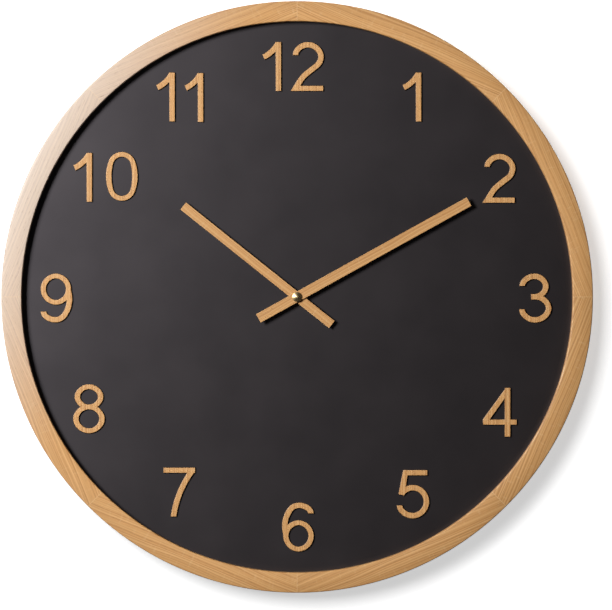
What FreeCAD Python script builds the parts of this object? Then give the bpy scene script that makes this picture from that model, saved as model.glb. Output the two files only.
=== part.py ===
import FreeCAD, Part
import os
from math import asin, atan2, cos, degrees, pi, radians, sin

# Round oak wall clock with a quartz movement, in millimetres.
# +X is to the right of a reader, +Y goes into the wall and +Z is up. The origin is on the hands' axis,
# halfway through the frame's depth. A clock angle is measured clockwise from 12 o'clock.

# ---------------------------------------------------------------- driving dimensions
# Frame
OUTER_R = 300.0
FACE_W = 20.4            # width of the oak face, outer edge to inner edge
DEPTH = 44.0
SEGMENTS = 8
CROWN = 0.6              # how far the face's middle stands over its edges
EDGE_R = 1.2             # eased front edges
BACK_CHAMFER = 0.8
DIAL_RECESS = 12.0       # from the frame's front to the dial's face
LIP_W = 5.4              # lip that the dial board bears on
DOWEL_D = 6.0
DOWEL_L = 30.0
DOWEL_SPARE = 1.0        # extra depth of a dowel's hole at each end
DOWEL_INSET = 7.5        # from the outer edge to the dowels' circle
# Dial and numerals
DIAL_T = 5.0
DIAL_GAP = 0.4
NUMERAL_T = 2.2
DIGIT_H = 50.0
DIGIT_W = 32.4
STROKE = 5.9             # upright strokes
THIN = 5.3               # top and bottom of a round stroke
# Hands
HAND_T = 1.6
HOUR_TIP, HOUR_TAIL, HOUR_W = 148.0, 45.0, 9.2
MINUTE_TIP, MINUTE_TAIL, MINUTE_W = 199.5, 45.0, 9.8
HOUR_AT = 308.6          # clock angles of the hands at rest
MINUTE_AT = 61.0
HOUR_LIFT = 4.4          # from the dial's face to the back of each hand
MINUTE_LIFT = 6.8
# Quartz movement
CASE_W = 56.0
CASE_T = 18.0
WALL = 1.2
NECK_D = 7.9
NECK_L = 9.2
CELL_D, CELL_L = 14.0, 50.5

# ---------------------------------------------------------------- places worked out from them
FRONT = -DEPTH / 2
BACK = DEPTH / 2
INNER_R = OUTER_R - FACE_W
REBATE_R = INNER_R + LIP_W
DIAL_FACE = FRONT + DIAL_RECESS
DIAL_BACK = DIAL_FACE + DIAL_T
SEGMENT_ANGLE = 360.0 / SEGMENTS

parts = {}


# ---------------------------------------------------------------- helpers
def at(r, clock, y=0.0):
    """The point at radius r and a clock angle."""
    a = radians(clock)
    return FreeCAD.Vector(r * sin(a), y, r * cos(a))


def rod(r, y0, y1, x=0.0, z=0.0):
    """A round bar along Y."""
    return Part.makeCylinder(r, y1 - y0, FreeCAD.Vector(x, y0, z), FreeCAD.Vector(0, 1, 0))


def tube(r, bore, y0, y1, x=0.0, z=0.0):
    return rod(r, y0, y1, x, z).cut(rod(bore, y0 - 1, y1 + 1, x, z))


def box(x0, x1, y0, y1, z0, z1):
    return Part.makeBox(x1 - x0, y1 - y0, z1 - z0, FreeCAD.Vector(x0, y0, z0))


def plate(points, y0, y1):
    """A flat plate with straight edges, from (x, z) corners."""
    corners = [FreeCAD.Vector(x, y0, z) for x, z in points]
    wire = Part.makePolygon(corners + corners[:1])
    return Part.Face(wire).extrude(FreeCAD.Vector(0, y1 - y0, 0))


def rounded_box(width, height, r, y0, y1, x=0.0, z=0.0):
    """A box along Y with round corners, centred on (x, z)."""
    block = box(x - width / 2, x + width / 2, y0, y1, z - height / 2, z + height / 2)
    upright = [e for e in block.Edges if abs(e.tangentAt(e.FirstParameter).y) > 0.9]
    return block.makeFillet(r, upright)


def turned(shape, clock):
    """A copy of a shape, turned clockwise about the hands' axis."""
    copy = shape.copy()
    copy.rotate(FreeCAD.Vector(0, 0, 0), FreeCAD.Vector(0, 1, 0), clock)
    return copy


def group(solids):
    return Part.makeCompound(solids)


def fused(first, *others):
    return first.multiFuse(list(others)).removeSplitter()


# ---------------------------------------------------------------- oak frame
def ring_profile():
    """Section of the frame at 12 o'clock: a crowned face, eased edges and a rebate for the dial."""
    def p(y, r):
        return FreeCAD.Vector(0, y, r)

    def line(a, b):
        return Part.LineSegment(a, b).toShape()

    def eased(a, b, corner):
        middle = (a + b) * 0.5
        return Part.Arc(a, middle + (corner - middle) * (2 ** 0.5 - 1), b).toShape()

    edge = FRONT + CROWN
    inner_side = p(edge + EDGE_R, INNER_R)
    inner_face = p(edge, INNER_R + EDGE_R)
    outer_face = p(edge, OUTER_R - EDGE_R)
    outer_side = p(edge + EDGE_R, OUTER_R)
    crown_top = p(FRONT, (INNER_R + OUTER_R) / 2)
    return Part.Wire([
        line(p(DIAL_FACE, INNER_R), inner_side),
        eased(inner_side, inner_face, p(edge, INNER_R)),
        Part.Arc(inner_face, crown_top, outer_face).toShape(),
        eased(outer_face, outer_side, p(edge, OUTER_R)),
        line(outer_side, p(BACK - BACK_CHAMFER, OUTER_R)),
        line(p(BACK - BACK_CHAMFER, OUTER_R), p(BACK, OUTER_R - BACK_CHAMFER)),
        line(p(BACK, OUTER_R - BACK_CHAMFER), p(BACK, REBATE_R)),
        line(p(BACK, REBATE_R), p(DIAL_FACE, REBATE_R)),
        line(p(DIAL_FACE, REBATE_R), p(DIAL_FACE, INNER_R)),
    ])


def dowel(clock, spare=0.0):
    """A beech dowel across one butt joint, or its hole if it has spare depth."""
    a = radians(clock)
    along = FreeCAD.Vector(cos(a), 0, -sin(a))
    half = DOWEL_L / 2 + spare
    start = at(OUTER_R - DOWEL_INSET, clock, (DIAL_FACE + BACK) / 2) - along * half
    return Part.makeCylinder(DOWEL_D / 2, 2 * half, start, along)


# Dial clips: small steel angles screwed to the rebate's wall, one on each segment
CLIP_W, CLIP_T, CLIP_LEG = 12.0, 1.2, 15.0
CLIP_TOP = REBATE_R - 0.1
CLIP_SCREW_R, CLIP_SCREW_L = 1.5, 11.0
CLIP_HEAD_R, CLIP_HEAD_T = 2.8, 1.6
CLIP_SCREW_Y = DIAL_BACK + 9.0
CROSS_LONG, CROSS_SHORT, CROSS_DEPTH = 1.6, 0.4, 0.9   # cross recess of every screw


def radial_rod(r, z0, z1, y):
    """A round bar that points outwards at 12 o'clock."""
    return Part.makeCylinder(r, z1 - z0, FreeCAD.Vector(0, y, z0), FreeCAD.Vector(0, 0, 1))


def dial_clip():
    half = CLIP_W / 2
    wall_leg = box(-half, half, DIAL_BACK, DIAL_BACK + CLIP_LEG, CLIP_TOP - CLIP_T, CLIP_TOP)
    dial_leg = box(-half, half, DIAL_BACK, DIAL_BACK + CLIP_T, CLIP_TOP - CLIP_LEG, CLIP_TOP)
    hole = radial_rod(CLIP_SCREW_R + 0.1, CLIP_TOP - 3, CLIP_TOP + 1, CLIP_SCREW_Y)
    return fused(wall_leg, dial_leg).cut(hole)


def clip_screw():
    """A pan-head screw with a cross recess, pointing outwards."""
    under_head = CLIP_TOP - CLIP_T
    top = under_head - CLIP_HEAD_T
    shank = radial_rod(CLIP_SCREW_R, under_head, under_head + CLIP_SCREW_L, CLIP_SCREW_Y)
    head = radial_rod(CLIP_HEAD_R, top, under_head, CLIP_SCREW_Y)
    screw = fused(shank, head)
    for half_x, half_y in ((CROSS_LONG, CROSS_SHORT), (CROSS_SHORT, CROSS_LONG)):
        slot = box(-half_x, half_x, CLIP_SCREW_Y - half_y, CLIP_SCREW_Y + half_y, top - 1, top + CROSS_DEPTH)
        screw = screw.cut(slot)
    return screw


# Hanger: a keyhole plate let into the back, across the joint at 12 o'clock
HANGER_T = 1.5
STRAP_HALF = 30.0
STRAP_Z0, STRAP_Z1 = 286.0, 296.0
TONGUE_R = 11.0
KEYHOLE_R = 4.5
SLOT_R = 2.25
KEYHOLE_Z = 268.0
SLOT_RISE = 9.0
HANGER_SCREW_X = 22.0
HANGER_SCREW_R = 1.6
HANGER_HEAD_R = 3.2
HANGER_SCREW_L = 14.0


def hanger_blank(y0, y1):
    strap = box(-STRAP_HALF, STRAP_HALF, y0, y1, STRAP_Z0, STRAP_Z1)
    tongue = box(-TONGUE_R, TONGUE_R, y0, y1, KEYHOLE_Z, STRAP_Z0)
    return fused(strap, tongue, rod(TONGUE_R, y0, y1, 0, KEYHOLE_Z))


def hanger_screw(x, cross=True):
    """A countersunk screw, flush with the plate, or the hole for one if it has no cross recess."""
    base = FreeCAD.Vector(x, BACK - HANGER_T, (STRAP_Z0 + STRAP_Z1) / 2)
    head = Part.makeCone(HANGER_SCREW_R, HANGER_HEAD_R, HANGER_T, base, FreeCAD.Vector(0, 1, 0))
    screw = fused(head, rod(HANGER_SCREW_R, BACK - HANGER_SCREW_L, BACK - HANGER_T, x, base.z))
    if cross:
        for half_x, half_z in ((CROSS_LONG, CROSS_SHORT), (CROSS_SHORT, CROSS_LONG)):
            slot = box(x - half_x, x + half_x, BACK - CROSS_DEPTH, BACK + 1, base.z - half_z, base.z + half_z)
            screw = screw.cut(slot)
    return screw


def hanger_plate(screw_holes):
    y0 = BACK - HANGER_T
    slot_half = box(-SLOT_R, SLOT_R, y0 - 1, BACK + 1, KEYHOLE_Z, KEYHOLE_Z + SLOT_RISE)
    slot_end = rod(SLOT_R, y0 - 1, BACK + 1, 0, KEYHOLE_Z + SLOT_RISE)
    keyhole = fused(rod(KEYHOLE_R, y0 - 1, BACK + 1, 0, KEYHOLE_Z), slot_half, slot_end)
    return hanger_blank(y0, BACK).cut(keyhole).cut(group(screw_holes))


def build_frame():
    blank = Part.Face(ring_profile()).revolve(
        FreeCAD.Vector(0, 0, 0), FreeCAD.Vector(0, 1, 0), SEGMENT_ANGLE)
    screw_holes = [hanger_screw(x, cross=False) for x in (-HANGER_SCREW_X, HANGER_SCREW_X)]
    recess = hanger_blank(BACK - HANGER_T, BACK + 1)
    middle = SEGMENT_ANGLE / 2
    for number in range(1, SEGMENTS + 1):
        start = (number - 1) * SEGMENT_ANGLE
        tools = [
            dowel(start, DOWEL_SPARE),
            dowel(start + SEGMENT_ANGLE, DOWEL_SPARE),
            turned(clip_screw(), start + middle),
        ]
        if number in (1, SEGMENTS):
            tools += [recess] + screw_holes
        segment = turned(blank, start)
        for tool in tools:
            segment = segment.cut(tool)
        parts[f"frame_segment_{number}"] = segment
    joints = [SEGMENT_ANGLE * k for k in range(SEGMENTS)]
    parts["frame_dowels"] = group([dowel(a) for a in joints])
    parts["dial_clips"] = group([turned(dial_clip(), a + middle) for a in joints])
    parts["dial_clip_screws"] = group([turned(clip_screw(), a + middle) for a in joints])
    parts["hanger_plate"] = hanger_plate(screw_holes)
    parts["hanger_screws"] = group([hanger_screw(x) for x in (-HANGER_SCREW_X, HANGER_SCREW_X)])


# ---------------------------------------------------------------- numerals
# Each digit is drawn about its own centre as bars of even width that run and turn like a pen.
HALF_W, HALF_H = DIGIT_W / 2, DIGIT_H / 2
TOP = HALF_H - STROKE / 2                # centre line of a stroke along the top of a digit


def quarter(ahead, aside, side, small=0.78):
    """Two tangent arcs, (radius, turn), that turn 90 degrees while going ahead and aside."""
    if abs(ahead - aside) < 0.01:
        return [(ahead, 90 * side)]
    least = small * min(ahead, aside)
    if ahead > aside:
        end_r = least
        start_r = (ahead ** 2 + aside ** 2 - 2 * ahead * end_r) / (2 * (aside - end_r))
    else:
        start_r = least
        end_r = (ahead ** 2 + aside ** 2 - 2 * aside * start_r) / (2 * (ahead - start_r))
    first = degrees(asin((ahead - end_r) / (start_r - end_r)))
    return [(start_r, first * side), (end_r, (90 - first) * side)]


def sides_of(x, z, heading, moves, width=STROKE):
    """The left and right edges of a bar that starts at (x, z), and its corners at each end.

    A move is a straight run's length, or an arc's (radius, turn), with left turns positive."""
    def offset(pose, side):
        px, pz, h = pose
        return FreeCAD.Vector(px - side * sin(h) * width / 2, 0, pz + side * cos(h) * width / 2)

    def moved(pose, move, share):
        px, pz, h = pose
        if not isinstance(move, tuple):
            return (px + share * move * cos(h), pz + share * move * sin(h), h)
        turn = radians(move[1]) * share
        bend = move[0] if turn > 0 else -move[0]
        return (px + bend * (sin(h + turn) - sin(h)), pz + bend * (cos(h) - cos(h + turn)), h + turn)

    left, right = [], []
    start = pose = (x, z, radians(heading))
    for move in moves:
        halfway, after = moved(pose, move, 0.5), moved(pose, move, 1)
        for side, edges in ((1, left), (-1, right)):
            a, m, b = (offset(p, side) for p in (pose, halfway, after))
            curve = Part.Arc(a, m, b) if isinstance(move, tuple) else Part.LineSegment(a, b)
            edges.append(curve.toShape())
        pose = after
    caps = [(offset(p, 1), offset(p, -1)) for p in (start, pose)]
    return left, right, caps


def stroke(x, z, heading, moves, width=STROKE):
    left, right, caps = sides_of(x, z, heading, moves, width)
    edges = left + right + [Part.LineSegment(*cap).toShape() for cap in caps]
    return Part.Face(Part.Wire(Part.__sortEdges__(edges)))


def oval(x, z, half_w, half_h, small=0.78):
    """A filled four-centred oval."""
    moves = []
    for ahead, aside in ((half_w, half_h), (half_h, half_w)) * 2:
        moves += quarter(ahead, aside, -1, small)
    rim = sides_of(x, z + half_h, 0, moves, 0)[0]
    return Part.Face(Part.Wire(Part.__sortEdges__(rim)))


def ring(x, z, half_w, half_h, small=0.78):
    """A closed oval stroke; half_w and half_h are to its outer edge."""
    return oval(x, z, half_w, half_h, small).cut(oval(x, z, half_w - STROKE, half_h - THIN, small))


def polygon(*points):
    corners = [FreeCAD.Vector(x, 0, z) for x, z in points]
    return Part.Face(Part.makePolygon(corners + corners[:1]))


def window(x0, x1):
    """The full height of a digit between x0 and x1, to cut strokes off square."""
    return polygon((x0, -HALF_H), (x1, -HALF_H), (x1, HALF_H), (x0, HALF_H))


def digit_0():
    return [ring(0, 0, HALF_W, HALF_H, 0.88)]


def digit_1():
    stem = polygon((3.6, HALF_H), (9.4, HALF_H), (9.4, -HALF_H), (3.6, -HALF_H))
    flag = stroke(7.2, 26.0, -113, [(32.0, -42)])
    return [stem, flag.common(window(-HALF_W, 9.4))]


def digit_2():
    hook = quarter(10.6, 12.6, -1) + quarter(13.2, 12.0, -1)
    neck = [(12.0, -52), 12.0, (30.0, 20), 16.0]
    foot = polygon((-16.3, -HALF_H), (16.2, -HALF_H), (16.2, -HALF_H + 5.6), (-13.0, -HALF_H + 5.6))
    return [stroke(-12.0, TOP - 10.6, 90, hook + neck).common(window(-18.0, 18.0)), foot]


def digit_3():
    waist = 1.3
    upper = quarter(10.0, 12.4, -1) + quarter(11.4, 10.35, -1) + quarter(10.35, 11.4, -1) + [3.6]
    lower = [4.0] + quarter(14.0, 11.75, -1) + quarter(11.75, 13.6, -1) + quarter(13.4, 10.9, -1)
    return [stroke(-13.3, TOP - 10.0, 90, upper), stroke(-4.6, waist, 0, lower)]


def digit_4():
    stem = polygon((5.2, HALF_H), (11.2, HALF_H), (11.2, -HALF_H), (5.2, -HALF_H))
    bar = polygon((-17.0, -7.2), (17.6, -7.2), (17.6, -12.8), (-17.0, -12.8))
    brace = polygon((-17.0, -7.2), (6.4, HALF_H), (11.2, HALF_H), (5.2, 14.0), (-9.6, -7.2))
    return [stem, bar, brace]


def digit_5():
    bar = polygon((-10.8, HALF_H), (14.0, HALF_H), (14.0, HALF_H - 5.6), (-10.8, HALF_H - 5.6))
    back = polygon((-10.8, HALF_H), (-5.2, HALF_H), (-8.6, 3.0), (-10.2, -1.0), (-15.6, 0.2))
    bowl = [(14.0, -60)] + quarter(13.4, 14.2, -1) + quarter(14.2, 13.8, -1) + quarter(13.4, 10.6, -1)
    return [bar, back, stroke(-12.6, 0.0, 60, bowl)]


def digit_6():
    hole = oval(1.1, -9.0, 10.0, 10.8)
    bowl = oval(1.1, -9.0, 15.6, 16.0).cut(hole)
    arm = quarter(8.4, 12.0, 1) + quarter(14.4, 21.0, 1) + quarter(21.0, 14.0, 1)
    return [bowl, stroke(13.6, TOP - 8.4, 90, arm).cut(hole)]


def digit_7():
    bar = polygon((-16.2, HALF_H), (16.2, HALF_H), (16.2, HALF_H - 5.6), (-16.2, HALF_H - 5.6))
    leg = stroke(14.6, 23.5, -128, [(100.0, 28), 8.0])
    return [bar, leg.common(window(-HALF_W, HALF_W))]


def digit_8():
    waist = 1.8
    upper, lower = (HALF_H - waist + THIN / 2) / 2, (HALF_H + waist + THIN / 2) / 2
    return [ring(0, HALF_H - upper, 14.7, upper), ring(0, lower - HALF_H, HALF_W, lower)]


def digit_9():
    faces = digit_6()
    for face in faces:
        face.rotate(FreeCAD.Vector(0, 0, 0), FreeCAD.Vector(0, 1, 0), 180)
    return faces


DIGITS = [digit_0, digit_1, digit_2, digit_3, digit_4, digit_5, digit_6, digit_7, digit_8, digit_9]

# Centres of the digits on the dial, (digit, x, z), hour by hour
NUMERALS = {
    1: [(1, 116.9, 203.1)],
    2: [(2, 205.1, 120.5)],
    3: [(3, 242.1, -1.1)],
    4: [(4, 205.6, -117.2)],
    5: [(5, 118.4, -200.8)],
    6: [(6, 0.3, -233.8)],
    7: [(7, -119.8, -198.3)],
    8: [(8, -211.5, -113.6)],
    9: [(9, -244.0, -1.1)],
    10: [(1, -217.6, 121.5), (0, -178.1, 122.5)],
    11: [(1, -133.5, 203.1), (1, -104.6, 202.6)],
    12: [(1, -25.5, 234.1), (2, 10.4, 234.1)],
}


def digit_solid(digit, x, z):
    bars = [face.extrude(FreeCAD.Vector(0, -NUMERAL_T, 0)) for face in DIGITS[digit]()]
    solid = fused(*bars) if len(bars) > 1 else bars[0]
    solid.translate(FreeCAD.Vector(x, DIAL_FACE, z))
    return solid


def build_numerals():
    for hour, digits in NUMERALS.items():
        solids = [digit_solid(*place) for place in digits]
        parts[f"numeral_{hour}"] = group(solids) if len(solids) > 1 else solids[0]


# ---------------------------------------------------------------- dial
NECK_HOLE_R = NECK_D / 2 + 0.15


def build_dial():
    parts["dial_board"] = tube(REBATE_R - DIAL_GAP, NECK_HOLE_R, DIAL_FACE, DIAL_BACK)


# ---------------------------------------------------------------- layers of the movement, front to back
GASKET_T = 0.8
CASE_FRONT = DIAL_BACK + GASKET_T
CASE_BACK = CASE_FRONT + CASE_T
FLOOR = CASE_FRONT + WALL                 # inner face of the front case
SPLIT = CASE_BACK - 4.8                   # where the back case meets the front case
BACK_INSIDE = CASE_BACK - WALL
HOUR_WHEEL = (FLOOR + 0.4, FLOOR + 1.4)
MINUTE_PINION = (FLOOR + 0.4, FLOOR + 1.9)
CANNON_PINION = (FLOOR + 1.7, FLOOR + 2.9)
MINUTE_WHEEL = (FLOOR + 1.8, FLOOR + 2.8)
CENTRE_WHEEL = (FLOOR + 3.3, FLOOR + 4.2)
THIRD_PINION = (FLOOR + 3.1, FLOOR + 4.4)
MIDDLE_PLATE = (FLOOR + 4.8, FLOOR + 5.6)
THIRD_WHEEL = (FLOOR + 6.1, FLOOR + 6.9)
SECONDS_PINION = (FLOOR + 5.9, FLOOR + 7.1)
SECONDS_WHEEL = (FLOOR + 7.5, FLOOR + 8.3)
FIFTH_PINION = (FLOOR + 7.3, FLOOR + 8.5)
FIFTH_WHEEL = (FLOOR + 9.0, FLOOR + 9.8)
ROTOR_PINION = (FLOOR + 8.8, FLOOR + 10.0)
MAGNET = (FLOOR + 6.0, FLOOR + 8.4)
STATOR = (FLOOR + 6.3, FLOOR + 7.2)
TRAIN_PLATE = (FLOOR + 10.6, FLOOR + 11.6)
BOARD = (FLOOR + 12.2, FLOOR + 13.0)

# Gear train: (teeth, module) of each wheel and pinion, in the order of the drive
CENTRE_TEETH, THIRD_PINION_TEETH = 60, 8
THIRD_TEETH, SECONDS_PINION_TEETH = 64, 8
SECONDS_TEETH, FIFTH_PINION_TEETH = 60, 10
FIFTH_TEETH, ROTOR_TEETH = 60, 12
CANNON_TEETH, MINUTE_TEETH = 12, 36
MINUTE_PINION_TEETH, HOUR_TEETH = 10, 40
THIRD_FAR = 8.5                           # centre distances
MINUTE_FAR = 8.75
FIFTH_FAR = 7.0
ROTOR_FAR = 5.76


def module_for(distance, teeth_a, teeth_b):
    return 2 * distance / (teeth_a + teeth_b)


def arbor_at(start, distance, angle):
    a = radians(angle)
    return (start[0] + distance * cos(a), start[1] + distance * sin(a))


CENTRE = (0.0, 0.0)
THIRD = arbor_at(CENTRE, THIRD_FAR, -10)
MINUTE = arbor_at(CENTRE, MINUTE_FAR, 180)
FIFTH = arbor_at(CENTRE, FIFTH_FAR, 60)
ROTOR = arbor_at(FIFTH, ROTOR_FAR, 120)

# Arbors: radii, and how far each one reaches
RUNNING = 0.05                            # radial running clearance of the pivots
ARBOR_R, PIVOT_R = 0.5, 0.35
MAGNET_R = 2.6
MINUTE_ARBOR_R = 1.6
HOUR_TUBE_R, HOUR_BORE_R = 2.5, MINUTE_ARBOR_R + RUNNING
HOUR_BACK = DIAL_FACE - HOUR_LIFT
HOUR_TUBE_END = HOUR_BACK - HAND_T - 0.1
MINUTE_BACK = DIAL_FACE - MINUTE_LIFT
MINUTE_FRONT = MINUTE_BACK - HAND_T
CLUTCH_R, SEAT_END = 1.4, CENTRE_WHEEL[1] + 0.3
NUT_R, NUT_RIM_T, NUT_T = 5.0, 1.0, 2.9
NUT_THREAD_R, NUT_THREAD_L = 1.25, 2.0
KNOB_R, KNOB_T, KNOB_GAP = 6.5, 3.5, 0.5
KNOB_STEM_R = 1.2
STEM_WAIST_R = 0.6                        # passes the centre wheel's teeth


def gear(teeth, module, centre, mate, layer, tooth_first, pinion=False):
    """A clock gear with radial flanks and ogival tips, in mesh with a gear centred on mate.

    tooth_first says whether a tooth or a gap faces the mate."""
    pitch_r = teeth * module / 2
    tip_r = pitch_r + module * (0.7 if pinion else 1.05)
    root_r = pitch_r - module * (1.45 if pinion else 1.25)
    flank = module * (0.52 if pinion else 0.66) / pitch_r
    mid_r = pitch_r + (tip_r - pitch_r) * 0.55
    facing = atan2(mate[1] - centre[1], mate[0] - centre[0])
    pitch = 2 * pi / teeth
    outline = []
    for k in range(teeth):
        a = facing + (k if tooth_first else k + 0.5) * pitch
        for r, share in ((root_r, -1), (pitch_r, -1), (mid_r, -0.72), (tip_r, -0.25),
                         (tip_r, 0.25), (mid_r, 0.72), (pitch_r, 1), (root_r, 1)):
            turn = a + share * flank
            outline.append((centre[0] + r * cos(turn), centre[1] + r * sin(turn)))
    return plate(outline, *layer)


def arbor(centre, y0, y1, front_pivot, back_pivot, r=ARBOR_R):
    """A round arbor with a thinner pivot at each end."""
    bars = [rod(r, y0, y1, *centre)]
    if front_pivot:
        bars.append(rod(PIVOT_R, y0 - front_pivot, y0, *centre))
    if back_pivot:
        bars.append(rod(PIVOT_R, y1, y1 + back_pivot, *centre))
    return bars


def build_train():
    third_m = module_for(THIRD_FAR, CENTRE_TEETH, THIRD_PINION_TEETH)
    seconds_m = module_for(THIRD_FAR, THIRD_TEETH, SECONDS_PINION_TEETH)
    fifth_m = module_for(FIFTH_FAR, SECONDS_TEETH, FIFTH_PINION_TEETH)
    rotor_m = module_for(ROTOR_FAR, FIFTH_TEETH, ROTOR_TEETH)
    minute_m = module_for(MINUTE_FAR, CANNON_TEETH, MINUTE_TEETH)
    hour_m = module_for(MINUTE_FAR, MINUTE_PINION_TEETH, HOUR_TEETH)

    # Minute arbor: cannon pinion, seat of the centre wheel's slipping clutch, seat and thread of the hand
    socket = rod(PIVOT_R + RUNNING, SEAT_END - 1.6, SEAT_END + 1)
    cannon = gear(CANNON_TEETH, minute_m, CENTRE, MINUTE, CANNON_PINION, True, pinion=True)
    shaft = rod(MINUTE_ARBOR_R, MINUTE_FRONT, CANNON_PINION[1])
    seat = rod(CLUTCH_R, CANNON_PINION[1], SEAT_END)
    thread = rod(NUT_THREAD_R, MINUTE_FRONT - NUT_THREAD_L, MINUTE_FRONT)
    parts["minute_arbor"] = fused(shaft, cannon, seat, thread).cut(socket)
    centre_wheel = gear(CENTRE_TEETH, third_m, CENTRE, THIRD, CENTRE_WHEEL, True)
    parts["centre_wheel"] = centre_wheel.cut(rod(CLUTCH_R + RUNNING, CASE_FRONT, CASE_BACK))

    # Motion work: the minute wheel reduces 12 to 1 from the minute arbor to the hour wheel
    hour_disc = gear(HOUR_TEETH, hour_m, CENTRE, MINUTE, HOUR_WHEEL, True)
    hour_tube = rod(HOUR_TUBE_R, HOUR_TUBE_END, HOUR_WHEEL[1])
    bore = rod(HOUR_BORE_R, HOUR_TUBE_END - 1, HOUR_WHEEL[1] + 1)
    parts["hour_wheel"] = fused(hour_disc, hour_tube).cut(bore)
    minute_disc = gear(MINUTE_TEETH, minute_m, MINUTE, CENTRE, MINUTE_WHEEL, False)
    pinion = gear(MINUTE_PINION_TEETH, hour_m, MINUTE, CENTRE, MINUTE_PINION, False, pinion=True)
    waist = rod(STEM_WAIST_R, MINUTE_WHEEL[1], MIDDLE_PLATE[1] + 0.3, *MINUTE)
    stem = rod(KNOB_STEM_R, MIDDLE_PLATE[1] + 0.3, CASE_BACK + KNOB_GAP + KNOB_T - 1, *MINUTE)
    pivot = rod(PIVOT_R, FLOOR - 0.9, MINUTE_PINION[0], *MINUTE)
    parts["minute_wheel"] = fused(minute_disc, pinion, waist, stem, pivot)

    # Going train, from the slow end to the motor
    third = gear(THIRD_TEETH, seconds_m, THIRD, CENTRE, THIRD_WHEEL, True)
    third_pinion = gear(THIRD_PINION_TEETH, third_m, THIRD, CENTRE, THIRD_PINION, False, pinion=True)
    bars = arbor(THIRD, FLOOR + 0.2, TRAIN_PLATE[0] - 0.2, 0.9, 0.9)
    parts["third_wheel"] = fused(third, third_pinion, *bars)
    seconds = gear(SECONDS_TEETH, fifth_m, CENTRE, FIFTH, SECONDS_WHEEL, True)
    seconds_pinion = gear(SECONDS_PINION_TEETH, seconds_m, CENTRE, THIRD, SECONDS_PINION, False, pinion=True)
    bars = arbor(CENTRE, SEAT_END + 0.3, TRAIN_PLATE[0] - 0.2, 1.5, 0.9)
    parts["seconds_wheel"] = fused(seconds, seconds_pinion, *bars)
    fifth = gear(FIFTH_TEETH, rotor_m, FIFTH, ROTOR, FIFTH_WHEEL, True)
    fifth_pinion = gear(FIFTH_PINION_TEETH, fifth_m, FIFTH, CENTRE, FIFTH_PINION, False, pinion=True)
    bars = arbor(FIFTH, MIDDLE_PLATE[1] + 0.2, TRAIN_PLATE[0] - 0.2, 0.7, 0.9)
    parts["fifth_wheel"] = fused(fifth, fifth_pinion, *bars)
    rotor_pinion = gear(ROTOR_TEETH, rotor_m, ROTOR, FIFTH, ROTOR_PINION, False, pinion=True)
    bars = arbor(ROTOR, MIDDLE_PLATE[1] + 0.2, TRAIN_PLATE[0] - 0.2, 0.7, 0.9)
    parts["rotor_pinion"] = fused(rotor_pinion, *bars)
    parts["rotor_magnet"] = tube(MAGNET_R, ARBOR_R, *MAGNET, *ROTOR)


# ---------------------------------------------------------------- hands and their fittings
FLANGE_T, FLANGE_R = 0.5, 4.2             # flange of the bush behind a hand
FERRULE_R = 3.4


def hand(tip, tail, width, back, clock):
    """A plain bar along 12 o'clock with a hole for its ferrule, turned to its clock angle."""
    bar = box(-width / 2, width / 2, back - HAND_T, back, -tail, tip)
    return turned(bar.cut(rod(FERRULE_R, back - HAND_T - 1, back + 1)), clock)


def ferrule(back, bore):
    """A flanged bush pressed into a hand from behind."""
    bush = rod(FERRULE_R, back - HAND_T, back)
    flange = rod(FLANGE_R, back, back + FLANGE_T)
    return fused(bush, flange).cut(rod(bore, back - HAND_T - 1, back + FLANGE_T + 1))


def build_hands():
    parts["hour_hand"] = hand(HOUR_TIP, HOUR_TAIL, HOUR_W, HOUR_BACK, HOUR_AT)
    parts["hour_hand_bushing"] = ferrule(HOUR_BACK, HOUR_TUBE_R)
    parts["minute_hand"] = hand(MINUTE_TIP, MINUTE_TAIL, MINUTE_W, MINUTE_BACK, MINUTE_AT)
    parts["minute_hand_bushing"] = ferrule(MINUTE_BACK, MINUTE_ARBOR_R)
    rim_front = MINUTE_FRONT - NUT_RIM_T
    rim = rod(NUT_R, rim_front, MINUTE_FRONT)
    cone_h = NUT_T - NUT_RIM_T
    base = FreeCAD.Vector(0, rim_front, 0)
    cone = Part.makeCone(NUT_R, NUT_R * 0.3, cone_h, base, FreeCAD.Vector(0, -1, 0))
    thread = rod(NUT_THREAD_R, MINUTE_FRONT - NUT_THREAD_L, MINUTE_FRONT + 1)
    parts["hand_cap_nut"] = fused(rim, cone).cut(thread)


# ---------------------------------------------------------------- movement case, motor and battery
BAY_TOP = -12.0                          # inner face of the wall over the battery bay
INSIDE = CASE_W / 2 - WALL
CELL_Z = (BAY_TOP - INSIDE) / 2
CELL_Y = CASE_BACK - WALL - CELL_D / 2 - 0.4
CELL_X0 = -INSIDE + 2.2
PILLARS = [(-23.5, -8.5), (23.5, -8.5), (-23.5, 23.5), (23.5, 23.5)]
PILLAR_R, STUD_R = 2.4, 1.4
NECK_END = CASE_FRONT - NECK_L
COIL_Z = 21.5
NECK_FLANGE_R = 6.5


def pivot_hole(centre, layer, r=PIVOT_R + RUNNING):
    return rod(r, layer[0] - 1, layer[1] + 1, *centre)


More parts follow.
